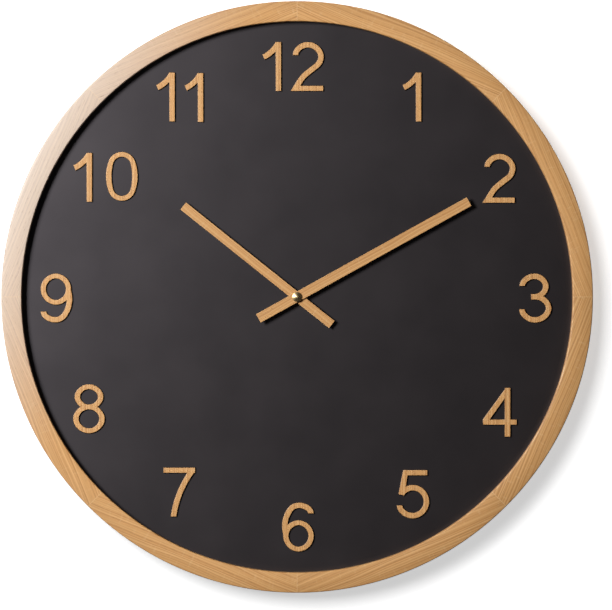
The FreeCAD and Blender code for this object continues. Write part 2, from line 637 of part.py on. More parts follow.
def build_case():
    # Front case: a tray with the battery bay's wall, the stepped pillars and the front pivots' cups
    outer = rounded_box(CASE_W, CASE_W, 3.0, CASE_FRONT, SPLIT)
    inner = rounded_box(2 * INSIDE, 2 * INSIDE, 2.0, FLOOR, SPLIT + 1)
    bay_wall = box(-INSIDE, INSIDE, FLOOR, SPLIT, BAY_TOP, BAY_TOP + 1.0)
    pillars = [rod(PILLAR_R, FLOOR, MIDDLE_PLATE[0], x, z) for x, z in PILLARS]
    studs = [rod(STUD_R, FLOOR, BOARD[1] + 0.5, x, z) for x, z in PILLARS]
    tray = fused(outer.cut(inner), bay_wall, *pillars, *studs)
    neck_hole = rod(NECK_FLANGE_R, CASE_FRONT - 1, FLOOR + 1)
    cups = [rod(PIVOT_R + RUNNING, FLOOR - 1.0, FLOOR + 1, *c) for c in (THIRD, MINUTE)]
    parts["movement_case_front"] = tray.cut(group([neck_hole] + cups))
    flange = rod(NECK_FLANGE_R, CASE_FRONT, FLOOR)
    neck = fused(flange, rod(NECK_D / 2, NECK_END, CASE_FRONT))
    parts["threaded_neck"] = neck.cut(rod(HOUR_TUBE_R + RUNNING, NECK_END - 1, FLOOR + 1))

    # Back case: a lid with an open battery bay and the hole for the setting knob's stem
    lid = rounded_box(CASE_W, CASE_W, 3.0, SPLIT, CASE_BACK)
    hollow = rounded_box(2 * INSIDE, 2 * INSIDE, 2.0, SPLIT - 1, BACK_INSIDE)
    wall = box(-INSIDE, INSIDE, SPLIT, BACK_INSIDE, BAY_TOP, BAY_TOP + 1.0)
    bay = box(-INSIDE + 0.3, INSIDE - 0.3, SPLIT, CASE_BACK + 1, -INSIDE + 0.2, BAY_TOP - 0.2)
    stem_hole = rod(KNOB_STEM_R + 0.1, SPLIT, CASE_BACK + 1, *MINUTE)
    parts["movement_case_back"] = fused(lid.cut(hollow), wall).cut(bay).cut(stem_hole)

    # Plates on the pillars
    half = INSIDE - 0.5
    plate_w, plate_h = 2 * half, half - BAY_TOP - 1.5
    plate_z = (half + BAY_TOP + 1.5) / 2
    studs_cut = [rod(STUD_R, FLOOR, CASE_BACK, x, z) for x, z in PILLARS]
    spacers = [rod(PILLAR_R, MIDDLE_PLATE[1], TRAIN_PLATE[0], x, z) for x, z in PILLARS]
    middle = rounded_box(plate_w, plate_h, 2.0, *MIDDLE_PLATE, 0, plate_z)
    middle = middle.cut(box(-9, 9, FLOOR, TRAIN_PLATE[0], COIL_Z - 3.8, COIL_Z + 3.8))
    holes = [pivot_hole(c, MIDDLE_PLATE, 1.5) for c in (CENTRE, THIRD, MINUTE)]
    holes += [pivot_hole(c, MIDDLE_PLATE) for c in (FIFTH, ROTOR)]
    parts["middle_plate"] = fused(middle, *spacers).cut(group(studs_cut)).cut(group(holes))
    train = rounded_box(plate_w, plate_h, 2.0, *TRAIN_PLATE, 0, plate_z)
    holes = [pivot_hole(c, TRAIN_PLATE) for c in (THIRD, CENTRE, FIFTH, ROTOR)]
    holes.append(pivot_hole(MINUTE, TRAIN_PLATE, KNOB_STEM_R + RUNNING))
    board_spacers = [rod(PILLAR_R, TRAIN_PLATE[1], BOARD[0], x, z) for x, z in PILLARS[2:]]
    parts["train_plate"] = fused(train, *board_spacers).cut(group(studs_cut)).cut(group(holes))

    # Neck's fixing to the dial
    parts["movement_gasket"] = tube(14.0, NECK_HOLE_R, DIAL_BACK, CASE_FRONT)
    parts["dial_washer"] = tube(5.6, NECK_D / 2 + 0.1, DIAL_FACE - 0.6, DIAL_FACE)
    parts["dial_nut"] = tube(5.3, NECK_D / 2, DIAL_FACE - 2.6, DIAL_FACE - 0.6)
    knob_y = CASE_BACK + KNOB_GAP
    knob = rod(KNOB_R, knob_y, knob_y + KNOB_T, *MINUTE)
    rim = [arbor_at(MINUTE, KNOB_R + 0.1, a) for a in range(0, 360, 15)]
    grooves = [rod(0.5, knob_y - 1, knob_y + KNOB_T + 1, *place) for place in rim]
    stem = rod(KNOB_STEM_R, knob_y - 1, knob_y + KNOB_T - 1, *MINUTE)
    parts["setting_knob"] = knob.cut(group(grooves)).cut(stem)


# Motor: stator lamination round the rotor, with the coil across its two arms
ARM_X, ARM_W = 12.5, 4.0
STATOR_HOLE_R = 3.1


def build_motor():
    foot_z0, foot_z1 = FIFTH[1] + ARBOR_R + 0.45, ROTOR[1] + 4.6
    foot = box(-ARM_X, ARM_X, *STATOR, foot_z0, foot_z1)
    arms = [box(x, x + ARM_W, *STATOR, foot_z0, COIL_Z + 2.5) for x in (-ARM_X, ARM_X - ARM_W)]
    parts["stator"] = fused(foot, *arms).cut(pivot_hole(ROTOR, STATOR, STATOR_HOLE_R))
    reach = ARM_X - ARM_W - 0.2
    core_y = (STATOR[0] + STATOR[1]) / 2

    def bar(r, x0, x1):
        start = FreeCAD.Vector(x0, core_y, COIL_Z)
        return Part.makeCylinder(r, x1 - x0, start, FreeCAD.Vector(1, 0, 0))

    ends = [bar(3.4, -reach, -reach + 0.8), bar(3.4, reach - 0.8, reach)]
    parts["coil_bobbin"] = fused(bar(1.3, -reach, reach), *ends)
    winding = bar(3.0, -reach + 0.8, reach - 0.8)
    parts["coil_winding"] = winding.cut(bar(1.3, -reach, reach))


def build_electronics():
    board = box(-INSIDE + 1, INSIDE - 1, *BOARD, 9.0, INSIDE - 1)
    studs = [rod(STUD_R, *BOARD, x, z) for x, z in PILLARS[2:]]
    parts["circuit_board"] = board.cut(group(studs))
    parts["driver_chip"] = rod(2.6, BOARD[1], BOARD[1] + 0.7, -8, 18)
    crystal_y = BOARD[1] + 0.55
    lying = FreeCAD.Vector(1, 0, 0)
    parts["quartz_crystal"] = Part.makeCylinder(0.55, 6.0, FreeCAD.Vector(4, crystal_y, 18), lying)

    # Contacts: a flat plate at the cell's positive end and a sprung one at its negative end
    y0, y1 = FLOOR + 1.0, BACK_INSIDE - 1.0
    z0, z1 = CELL_Z - 5, CELL_Z + 5
    positive = box(INSIDE - 0.6, INSIDE - 0.2, y0, y1, z0, z1)
    negative = box(-INSIDE + 0.2, -INSIDE + 0.6, y0, y1, z0, z1)
    spring_x = -INSIDE + 0.6
    spring_l = CELL_X0 - 0.1 - spring_x
    spring = Part.makeCone(4.0, 2.5, spring_l, FreeCAD.Vector(spring_x, CELL_Y, CELL_Z), lying)
    parts["battery_contacts"] = group([positive, fused(negative, spring)])
    body = Part.makeCylinder(CELL_D / 2, CELL_L - 1.2, FreeCAD.Vector(CELL_X0, CELL_Y, CELL_Z), lying)
    nub = Part.makeCylinder(2.7, 1.2, FreeCAD.Vector(CELL_X0 + CELL_L - 1.2, CELL_Y, CELL_Z), lying)
    parts["battery_cell"] = fused(body.makeFillet(0.6, body.Edges), nub)


# ---- build all
build_frame()
build_numerals()
build_dial()
build_hands()
build_case()
build_train()
build_motor()
build_electronics()

os.makedirs("parts", exist_ok=True)
for name, shape in parts.items():
    shape.exportStep(f"parts/{name}.step")
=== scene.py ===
import bmesh
import bpy
from math import asin, cos, pi, radians, sin, tau
from mathutils import Matrix, Vector
from mathutils.geometry import tessellate_polygon


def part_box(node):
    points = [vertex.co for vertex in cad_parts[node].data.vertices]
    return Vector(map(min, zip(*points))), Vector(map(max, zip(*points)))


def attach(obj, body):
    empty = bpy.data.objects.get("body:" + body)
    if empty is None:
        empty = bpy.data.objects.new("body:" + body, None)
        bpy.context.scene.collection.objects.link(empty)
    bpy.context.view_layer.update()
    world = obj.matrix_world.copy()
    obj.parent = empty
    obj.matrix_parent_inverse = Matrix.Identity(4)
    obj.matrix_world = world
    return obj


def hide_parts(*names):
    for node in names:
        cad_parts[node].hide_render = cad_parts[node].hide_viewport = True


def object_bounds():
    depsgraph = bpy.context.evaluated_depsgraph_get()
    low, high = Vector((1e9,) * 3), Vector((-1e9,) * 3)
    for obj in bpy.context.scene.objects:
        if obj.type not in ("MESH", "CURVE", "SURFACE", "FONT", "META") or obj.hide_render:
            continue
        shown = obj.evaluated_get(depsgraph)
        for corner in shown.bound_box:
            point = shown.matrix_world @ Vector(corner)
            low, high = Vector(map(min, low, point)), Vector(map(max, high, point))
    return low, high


# Round oak wall clock: an oak ring of eight blocks round a black dial, oak numerals and hands,
# and a battery movement on the back. Lengths are in metres; +Y goes into the wall and +Z is up.
# A clock angle is measured clockwise from 12 o'clock, which is a right-handed turn about +Y.
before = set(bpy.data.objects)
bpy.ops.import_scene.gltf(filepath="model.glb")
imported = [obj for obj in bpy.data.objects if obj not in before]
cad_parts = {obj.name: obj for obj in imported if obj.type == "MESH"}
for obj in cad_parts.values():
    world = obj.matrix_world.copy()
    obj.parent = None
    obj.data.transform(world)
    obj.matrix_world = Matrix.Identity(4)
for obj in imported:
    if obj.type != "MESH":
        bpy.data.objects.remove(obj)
cad_low, cad_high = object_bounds()
MM = 0.001


# ---------------------------------------------------------------- oak frame
# Eight blocks of straight-grained oak, butt-jointed with glue and dowels, turned to a ring with a gently
# crowned face and a rebate behind the lip for the dial. The grain of each block runs along its chord, so
# it meets the next block's at an angle. Rubbed with oil to a satin.
BLOCKS = 8
RING_R = cad_high.z
FACE_W, LIP_W, RECESS = 20.4 * MM, 5.4 * MM, 12 * MM
CROWN, EASED, BACK_CHAMFER = 0.4 * MM, 1.2 * MM, 0.8 * MM
FRONT, BACK = cad_low.y, cad_high.y
INNER_R = RING_R - FACE_W
REBATE_R = INNER_R + LIP_W
DIAL_FACE = FRONT + RECESS
# Round ten o'clock, where the ring is painted with a sheen
PAINTED_SHEEN_AT = (sin(radians(295)), 0, cos(radians(295)))


def node(tree, kind, inputs=None, stops=None, **settings):
    """Adds a node. An input is a value or the output it is linked from; stops are a colour ramp's."""
    made = tree.nodes.new(kind)
    for key, value in settings.items():
        setattr(made, key, value)
    for key, value in (inputs or {}).items():
        if isinstance(value, bpy.types.NodeSocket):
            tree.links.new(value, made.inputs[key])
        else:
            made.inputs[key].default_value = value
    if stops:
        elements = made.color_ramp.elements
        while len(elements) < len(stops):
            elements.new(1.0)
        for element, (place, colour) in zip(elements, stops):
            element.position, element.color = place, colour
    return made


def linear(code):
    """An sRGB hex colour as linear RGBA."""
    parts = [int(code[k:k + 2], 16) / 255 for k in (1, 3, 5)]
    return (*[c / 12.92 if c <= 0.04045 else ((c + 0.055) / 1.055) ** 2.4 for c in parts], 1.0)


def finish_named(name, colour, **values):
    """A material with one Principled shader, and that shader. A word's underscore stands for a space."""
    material = bpy.data.materials.new(name)
    material.use_nodes = True
    shader = material.node_tree.nodes["Principled BSDF"]
    shader.inputs["Base Color"].default_value = linear(colour)
    for key, value in values.items():
        shader.inputs[key.replace("_", " ")].default_value = value
    return material, material.node_tree, shader


def oiled_oak(name, scorched):
    """White oak, planed and oiled: satin, with the pores open and the rings a little proud of each other.

    Reads the piece's own grain attribute, in millimetres: x along the grain, y across it in the face and
    z into the board. A laser-cut edge is the same wood, scorched brown."""
    material, tree, shader = finish_named(name, "#C99A66", IOR=1.55)
    grain = node(tree, "ShaderNodeAttribute", attribute_name="grain").outputs["Vector"]
    tone = node(tree, "ShaderNodeAttribute", attribute_name="tone").outputs["Fac"]
    joint = node(tree, "ShaderNodeAttribute", attribute_name="joint").outputs["Fac"]

    # The rings wander slowly along a board: by some 4 mm over 120 mm
    slow = node(tree, "ShaderNodeMapping", {"Vector": grain, "Scale": (1 / 120, 1 / 26, 1 / 26)}).outputs[0]
    drift = node(tree, "ShaderNodeTexNoise", {"Vector": slow, "Scale": 1.0, "Detail": 2.0}).outputs["Fac"]
    split = node(tree, "ShaderNodeSeparateXYZ", {"Vector": grain}).outputs
    across = node(tree, "ShaderNodeMath", {0: drift, 1: 9.0, 2: split["Y"]}, operation="MULTIPLY_ADD")
    across = node(tree, "ShaderNodeMath", {0: split["Z"], 1: 0.45, 2: across.outputs[0]},
                  operation="MULTIPLY_ADD")

    # Growth rings 1 to 3 mm apart: a smooth pale late wood and a porous darker early wood
    rings = node(tree, "ShaderNodeTexNoise", {"W": across.outputs[0], "Scale": 0.55, "Detail": 2.5,
                 "Roughness": 0.6}, noise_dimensions="1D").outputs["Fac"]
    early = node(tree, "ShaderNodeMapRange", {"Value": rings, "From Min": 0.44, "From Max": 0.6},
                 interpolation_type="SMOOTHSTEP").outputs[0]
    # Fibres about 0.5 mm wide and 40 mm long
    thin = node(tree, "ShaderNodeMapping", {"Vector": grain,
                "Scale": (1 / 40, 1 / 0.55, 1 / 0.55)}).outputs[0]
    fibre = node(tree, "ShaderNodeTexNoise", {"Vector": thin, "Scale": 1.0, "Detail": 3.0}).outputs["Fac"]
    # Open pores of the early wood, dashes 0.3 mm wide and 6 mm long
    dash = node(tree, "ShaderNodeMapping", {"Vector": grain, "Scale": (1 / 6, 1 / 0.42, 1 / 0.42)}).outputs[0]
    pores = node(tree, "ShaderNodeTexNoise", {"Vector": dash, "Scale": 1.0, "Detail": 1.0}).outputs["Fac"]
    pores = node(tree, "ShaderNodeMapRange", {"Value": pores, "From Min": 0.6, "From Max": 0.7,
                 "To Max": 0.5}).outputs[0]
    pores = node(tree, "ShaderNodeMath", {0: pores, 1: early}, operation="MULTIPLY").outputs[0]
    # Ray flecks, pale lenses across the grain, about 2 mm by 9 mm
    lens = node(tree, "ShaderNodeMapping", {"Vector": grain, "Rotation": (0, 0, 0.25),
                "Scale": (1 / 2.4, 1 / 10, 1 / 10)}).outputs[0]
    rays = node(tree, "ShaderNodeTexNoise", {"Vector": lens, "Scale": 1.0, "Detail": 1.0}).outputs["Fac"]
    rays = node(tree, "ShaderNodeMapRange", {"Value": rays, "From Min": 0.6, "From Max": 0.8,
                "To Max": 0.3}).outputs[0]

    wood = node(tree, "ShaderNodeValToRGB", {"Fac": rings}, stops=[
        (0.28, linear("#D8A972")), (0.46, linear("#CD9B61")), (0.58, linear("#C38E55")),
        (0.74, linear("#B57F47"))]).outputs["Color"]
    wood = node(tree, "ShaderNodeMix", {0: rays, 6: wood, 7: linear("#DDB98A")}, data_type="RGBA").outputs[2]
    streak = node(tree, "ShaderNodeMapRange", {"Value": fibre, "From Min": 0.3, "From Max": 0.7,
                  "To Min": 0.93, "To Max": 1.06}).outputs[0]
    # Painted shade: the ring is painted darker over its last 14 mm, towards the rim
    place = node(tree, "ShaderNodeTexCoord").outputs["Object"]
    flat = node(tree, "ShaderNodeVectorMath", {0: place, 1: (1, 0, 1)}, operation="MULTIPLY").outputs[0]
    radius = node(tree, "ShaderNodeVectorMath", {0: flat}, operation="LENGTH").outputs["Value"]
    painted_rim_shade = node(tree, "ShaderNodeMapRange", {"Value": radius, "From Min": RING_R - 15 * MM,
                "From Max": RING_R - MM, "To Max": -0.6}, interpolation_type="SMOOTHSTEP").outputs[0]
    # A painted sheen: round ten o'clock the ring is painted paler and greyer, where the light's highlight
    # falls
    outward = node(tree, "ShaderNodeVectorMath", {0: flat}, operation="NORMALIZE").outputs[0]
    facing = node(tree, "ShaderNodeVectorMath", {0: outward, 1: PAINTED_SHEEN_AT},
                  operation="DOT_PRODUCT").outputs["Value"]
    painted_sheen = node(tree, "ShaderNodeMapRange", {"Value": facing, "From Min": 0.5, "From Max": 1.08,
                  "To Max": 0.7}, interpolation_type="SMOOTHSTEP").outputs[0]
    on_ring = node(tree, "ShaderNodeMath", {0: radius, 1: INNER_R - MM}, operation="GREATER_THAN").outputs[0]
    painted_sheen = node(tree, "ShaderNodeMath", {0: painted_sheen, 1: on_ring}, operation="MULTIPLY").outputs[0]
    # The painted sheen is kept off its back and its rebate
    depth = node(tree, "ShaderNodeSeparateXYZ", {"Vector": place}).outputs["Y"]
    in_front = node(tree, "ShaderNodeMath", {0: depth, 1: DIAL_FACE}, operation="LESS_THAN").outputs[0]
    outside = node(tree, "ShaderNodeMath", {0: radius, 1: RING_R - MM}, operation="GREATER_THAN").outputs[0]
    shows_painted_sheen = node(tree, "ShaderNodeMath", {0: in_front, 1: outside}, operation="MAXIMUM").outputs[0]
    painted_sheen = node(tree, "ShaderNodeMath", {0: painted_sheen, 1: shows_painted_sheen}, operation="MULTIPLY").outputs[0]
    # Where the painted sheen falls, the wood is mixed towards a pale grey
    wood = node(tree, "ShaderNodeMix", {0: painted_sheen, 6: wood, 7: linear("#D2CAC2")},
                data_type="RGBA").outputs[2]
    # The block's tone, with the painted rim shade added
    tone = node(tree, "ShaderNodeMath", {0: tone, 1: painted_rim_shade}, operation="ADD").outputs[0]
    lightness = node(tree, "ShaderNodeMath", {0: tone, 1: 0.16, 2: streak},
                     operation="MULTIPLY_ADD").outputs[0]
    wood = node(tree, "ShaderNodeHueSaturation", {"Value": lightness, "Color": wood}).outputs["Color"]
    wood = node(tree, "ShaderNodeMix", {0: pores, 6: wood, 7: linear("#8A6036")}, data_type="RGBA").outputs[2]
    # The sanded glue line between two blocks is a little paler, 0.3 mm wide on each side
    line = node(tree, "ShaderNodeMapRange", {"Value": joint, "From Min": 0.15, "From Max": 0.45,
                "To Min": 0.4, "To Max": 0.0}).outputs[0]
    wood = node(tree, "ShaderNodeMix", {0: line, 6: wood, 7: linear("#E6C79C")}, data_type="RGBA").outputs[2]
    if scorched:
        wood = node(tree, "ShaderNodeMix", {0: 0.82, 6: wood, 7: linear("#3A2413")},
                    data_type="RGBA").outputs[2]
    tree.links.new(wood, shader.inputs["Base Color"])

    gloss = node(tree, "ShaderNodeMapRange", {"Value": rings, "From Min": 0.3, "From Max": 0.7,
                 "To Min": 0.36, "To Max": 0.46}).outputs[0]
    tree.links.new(gloss, shader.inputs["Roughness"])
    relief = node(tree, "ShaderNodeMath", {0: pores, 1: -1.6, 2: fibre}, operation="MULTIPLY_ADD").outputs[0]
    bump = node(tree, "ShaderNodeBump", {"Strength": 0.4, "Distance": 0.1 * MM, "Height": relief})
    tree.links.new(bump.outputs[0], shader.inputs["Normal"])
    return material


def turning_tree():
    """Geometry nodes that turn a section about the Y axis, as a lathe would, through any share of a turn.

    The section is one face in the plane x = 0, with z as its radius. Flutes are cut into its rim."""
    tree = bpy.data.node_groups.new("turned_section", "GeometryNodeTree")
    for name, kind in (("Section", "Geometry"), ("Start", "Float"), ("Sweep", "Float"), ("Steps", "Int"),
                       ("Flutes", "Int"), ("Flute Depth", "Float"), ("Flute Radius", "Float"),
                       ("Closed Ends", "Bool"), ("Finish", "Material")):
        tree.interface.new_socket(name=name, in_out="INPUT", socket_type="NodeSocket" + kind)
    tree.interface.new_socket(name="Geometry", in_out="OUTPUT", socket_type="NodeSocketGeometry")
    given = node(tree, "NodeGroupInput").outputs
    points = node(tree, "GeometryNodeAttributeDomainSize",
                  {"Geometry": given["Section"]}).outputs["Point Count"]
    column = node(tree, "ShaderNodeMath", {0: points, 1: 1.0}, operation="ADD").outputs[0]
    row = node(tree, "ShaderNodeMath", {0: given["Steps"], 1: 1.0}, operation="ADD").outputs[0]
    grid = node(tree, "GeometryNodeMeshGrid", {"Vertices X": row, "Vertices Y": column}).outputs["Mesh"]
    index = node(tree, "GeometryNodeInputIndex").outputs[0]
    along = node(tree, "ShaderNodeMath", {0: index, 1: column}, operation="MODULO").outputs[0]
    step = node(tree, "ShaderNodeMath", {0: index, 1: column}, operation="DIVIDE").outputs[0]
    step = node(tree, "ShaderNodeMath", {0: step}, operation="FLOOR").outputs[0]
    wrapped = node(tree, "ShaderNodeMath", {0: along, 1: points}, operation="MODULO").outputs[0]
    place = node(tree, "GeometryNodeInputPosition").outputs[0]
    section = node(tree, "GeometryNodeSampleIndex", {"Geometry": given["Section"], "Value": place,
                   "Index": wrapped}, data_type="FLOAT_VECTOR").outputs[0]
    share = node(tree, "ShaderNodeMath", {0: step, 1: given["Steps"]}, operation="DIVIDE").outputs[0]
    turn = node(tree, "ShaderNodeMath", {0: share, 1: given["Sweep"], 2: given["Start"]},
                operation="MULTIPLY_ADD").outputs[0]

    # Each flute is the top half of a cosine, so lands of full radius stay between them
    phase = node(tree, "ShaderNodeMath", {0: turn, 1: given["Flutes"]}, operation="MULTIPLY").outputs[0]
    wave = node(tree, "ShaderNodeMath", {0: phase}, operation="COSINE").outputs[0]
    wave = node(tree, "ShaderNodeMath", {0: wave, 1: 0.0}, operation="MAXIMUM").outputs[0]
    cut = node(tree, "ShaderNodeMath", {0: wave, 1: given["Flute Depth"]}, operation="MULTIPLY").outputs[0]
    radius = node(tree, "ShaderNodeSeparateXYZ", {"Vector": section}).outputs["Z"]
    on_rim = node(tree, "ShaderNodeMath", {0: radius, 1: given["Flute Radius"]},
                  operation="GREATER_THAN").outputs[0]
    cut = node(tree, "ShaderNodeMath", {0: cut, 1: on_rim}, operation="MULTIPLY").outputs[0]
    inward = node(tree, "ShaderNodeCombineXYZ", {"Z": cut}).outputs[0]
    section = node(tree, "ShaderNodeVectorMath", {0: section, 1: inward}, operation="SUBTRACT").outputs[0]
    turned = node(tree, "ShaderNodeVectorRotate", {"Vector": section, "Axis": (0, 1, 0),
                  "Angle": turn}).outputs[0]
    wall = node(tree, "GeometryNodeSetPosition", {"Geometry": grid, "Position": turned}).outputs[0]

    end = node(tree, "ShaderNodeMath", {0: given["Start"], 1: given["Sweep"]}, operation="ADD").outputs[0]
    caps = []
    for angle in (given["Start"], end):
        about = node(tree, "ShaderNodeCombineXYZ", {"Y": angle}).outputs[0]
        caps.append(node(tree, "GeometryNodeTransform", {"Geometry": given["Section"],
                    "Rotation": about}).outputs[0])
    ends = node(tree, "GeometryNodeJoinGeometry")
    for cap in caps:
        tree.links.new(cap, ends.inputs[0])
    kept = node(tree, "GeometryNodeSwitch", {"Switch": given["Closed Ends"], "True": ends.outputs[0]},
                input_type="GEOMETRY").outputs[0]
    whole = node(tree, "GeometryNodeJoinGeometry")
    for piece in (wall, kept):
        tree.links.new(piece, whole.inputs[0])
    welded = node(tree, "GeometryNodeMergeByDistance", {"Geometry": whole.outputs[0],
                  "Distance": 1e-6}).outputs[0]
    real = node(tree, "GeometryNodeRealizeInstances", {"Geometry": welded}).outputs[0]
    made = node(tree, "GeometryNodeSetMaterial", {"Geometry": real, "Material": given["Finish"]}).outputs[0]
    node(tree, "NodeGroupOutput", {"Geometry": made})
    return tree


def plain_mesh(tree, name, source, inputs):
    """The mesh that a geometry tree makes of a source mesh, with nothing live left on it."""
    holder = bpy.data.objects.new(name + "_source", source)
    bpy.context.scene.collection.objects.link(holder)
    modifier = holder.modifiers.new("make", "NODES")
    modifier.node_group = tree
    for item in tree.interface.items_tree:
        if item.in_out == "INPUT" and item.name in inputs:
            modifier[item.identifier] = inputs[item.name]
    depsgraph = bpy.context.evaluated_depsgraph_get()
    mesh = bpy.data.meshes.new_from_object(holder.evaluated_get(depsgraph), depsgraph=depsgraph)
    bpy.data.objects.remove(holder)
    mesh.materials.clear()
    mesh.materials.append(inputs["Finish"])
    mesh.polygons.foreach_set("material_index", [0] * len(mesh.polygons))
    mesh.name = name
    return mesh


def turned(name, outline, finish, start=0.0, sweep=tau, steps=96, **inputs):
    """A mesh turned about the Y axis from (y, radius) corners."""
    section = bpy.data.meshes.new("section")
    section.from_pydata([(0, y, r) for y, r in outline], [], [range(len(outline))])
    return plain_mesh(turned_section, name, section, {
        "Start": start, "Sweep": sweep, "Steps": steps, "Closed Ends": sweep < tau, "Finish": finish,
        **{key.replace("_", " "): value for key, value in inputs.items()}})


def prism(outline, y0, y1):
    """A mesh with an outline of (x, z) corners, from one depth to another."""
    count = len(outline)
    sides = [(k, (k + 1) % count, (k + 1) % count + count, k + count) for k in range(count)]
    mesh = bpy.data.meshes.new("prism")
    mesh.from_pydata([(x, y, z) for y in (y0, y1) for x, z in outline], [],
                     [range(count), range(2 * count - 1, count - 1, -1), *sides])
    work = bmesh.new()
    work.from_mesh(mesh)
    bmesh.ops.recalc_face_normals(work, faces=work.faces)
    work.to_mesh(mesh)
    work.free()
    return mesh


def less(mesh, cutter):
    """A mesh with a cutter's shape taken out of it."""
    holders = [bpy.data.objects.new("cutting", m) for m in (mesh, cutter)]
    for holder in holders:
        bpy.context.scene.collection.objects.link(holder)
    cut = holders[0].modifiers.new("cut", "BOOLEAN")
    cut.object, cut.solver = holders[1], "EXACT"
    depsgraph = bpy.context.evaluated_depsgraph_get()
    result = bpy.data.meshes.new_from_object(holders[0].evaluated_get(depsgraph), depsgraph=depsgraph)
    for holder in holders:
        bpy.data.objects.remove(holder)
    return result


def finished(name, mesh, sharp=40):
    """A closed mesh as an object: faces outwards, no loose edges, smooth apart from its corners."""
    work = bmesh.new()
    work.from_mesh(mesh)
    bmesh.ops.delete(work, geom=[e for e in work.edges if not e.link_faces], context="EDGES")
    bmesh.ops.recalc_face_normals(work, faces=work.faces)
    work.to_mesh(mesh)
    work.free()
    mesh.shade_smooth()
    mesh.set_sharp_from_angle(angle=radians(sharp))
    piece = bpy.data.objects.new(name, mesh)
    bpy.context.scene.collection.objects.link(piece)
    # Flat faces keep flat normals beside small rounded corners
    even = piece.modifiers.new("even", "WEIGHTED_NORMAL")
    even.keep_sharp = True
    depsgraph = bpy.context.evaluated_depsgraph_get()
    evened = bpy.data.meshes.new_from_object(piece.evaluated_get(depsgraph), depsgraph=depsgraph)
    piece.modifiers.clear()
    piece.data = evened
    evened.name = name
    return piece


def rounded(y, r, corner_y, corner_r, size, steps=4):
    """A quarter-round corner at (y, r): its side lies towards corner_y and its face towards corner_r."""
    turns = [radians(90 * k / steps) for k in range(steps + 1)]
    return [(y + corner_y * size * (1 - sin(t)), r + corner_r * size * (1 - cos(t))) for t in turns]


def graining(mesh, along, across, offset, tone, joint=None):
    """Stores the grain's own coordinates in millimetres, a lightness and the distance to a glued joint."""
    places = [v.co for v in mesh.vertices]
    own = [Vector((p.dot(along), p.dot(across), p.y)) / MM + offset for p in places]
    corners = [c for v in own for c in v]
    mesh.attributes.new("grain", "FLOAT_VECTOR", "POINT").data.foreach_set("vector", corners)
    mesh.attributes.new("tone", "FLOAT", "POINT").data.foreach_set("value", [tone] * len(places))
    gaps = [joint(p) / MM if joint else 10.0 for p in places]
    mesh.attributes.new("joint", "FLOAT", "POINT").data.foreach_set("value", gaps)


def stands_for(piece, body, slot, *cad_nodes):
    """The piece rides on a body and shows in place of CAD nodes. Its slot is not used."""
    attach(piece, body)
    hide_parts(*cad_nodes)


oak = oiled_oak("oiled_oak", scorched=False)
turned_section = turning_tree()

edge = FRONT + CROWN
half_chord = FACE_W / 2 - EASED
crown_r = (half_chord ** 2 + CROWN ** 2) / (2 * CROWN)
crown_turn = asin(half_chord / crown_r)
crown = [crown_turn * k / 8 for k in range(-7, 8)]
ring_outline = [
    (DIAL_FACE, INNER_R),
    *rounded(edge, INNER_R, 1, 1, EASED, 5),
    *[(FRONT + crown_r * (1 - cos(t)), (INNER_R + RING_R) / 2 + crown_r * sin(t)) for t in crown],
    *rounded(edge, RING_R, 1, -1, EASED, 5)[::-1],
    (BACK - BACK_CHAMFER, RING_R),
    (BACK, RING_R - BACK_CHAMFER),
    (BACK, REBATE_R),
    (DIAL_FACE, REBATE_R),
]
# Where each block was cut from the board, in millimetres, and how light it is
BLOCK_CUTS = [((0, 0, 0), 0.35), ((410, 83, 7), 0.4), ((930, 31, 3), 0.15), ((1480, 140, 11), 0.05),
              ((1990, 57, 5), 0.25), ((2510, 171, 9), 0.25), ((3070, 22, 2), 0.3), ((3620, 115, 6), 0.35)]
# The hanger plate is let into the backs of the two top blocks, across their joint
hanger_low, hanger_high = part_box("hanger_plate")
STRAP_W, TONGUE_HALF = 10 * MM, 11 * MM
STRAP_Z = hanger_high.z - STRAP_W
recess_outline = [(hanger_low.x, hanger_high.z), (hanger_low.x, STRAP_Z), (-TONGUE_HALF, STRAP_Z),
                  (-TONGUE_HALF, hanger_low.z), (TONGUE_HALF, hanger_low.z), (TONGUE_HALF, STRAP_Z),
                  (hanger_high.x, STRAP_Z), (hanger_high.x, hanger_high.z)]
for number, (offset, tone) in enumerate(BLOCK_CUTS, start=1):
    sweep = radians(360 / BLOCKS)
    start = sweep * (number - 1)
    middle = start + sweep / 2
    wood = turned(f"oak_block_{number}", ring_outline, oak, start, sweep, 36)
    if number in (1, BLOCKS):
        wood = less(wood, prism(recess_outline, hanger_low.y, BACK + MM))
    block = finished(f"oak_block_{number}", wood)
    along, across = Vector((cos(middle), 0, -sin(middle))), Vector((sin(middle), 0, cos(middle)))

    def to_joint(point):
        turned = abs(point.dot(along)) * cos(sweep / 2) - point.dot(across) * sin(sweep / 2)
        return -turned

    graining(block.data, along, across, Vector(offset), tone, to_joint)
    stands_for(block, "clock_case", "oak", f"frame_segment_{number}")


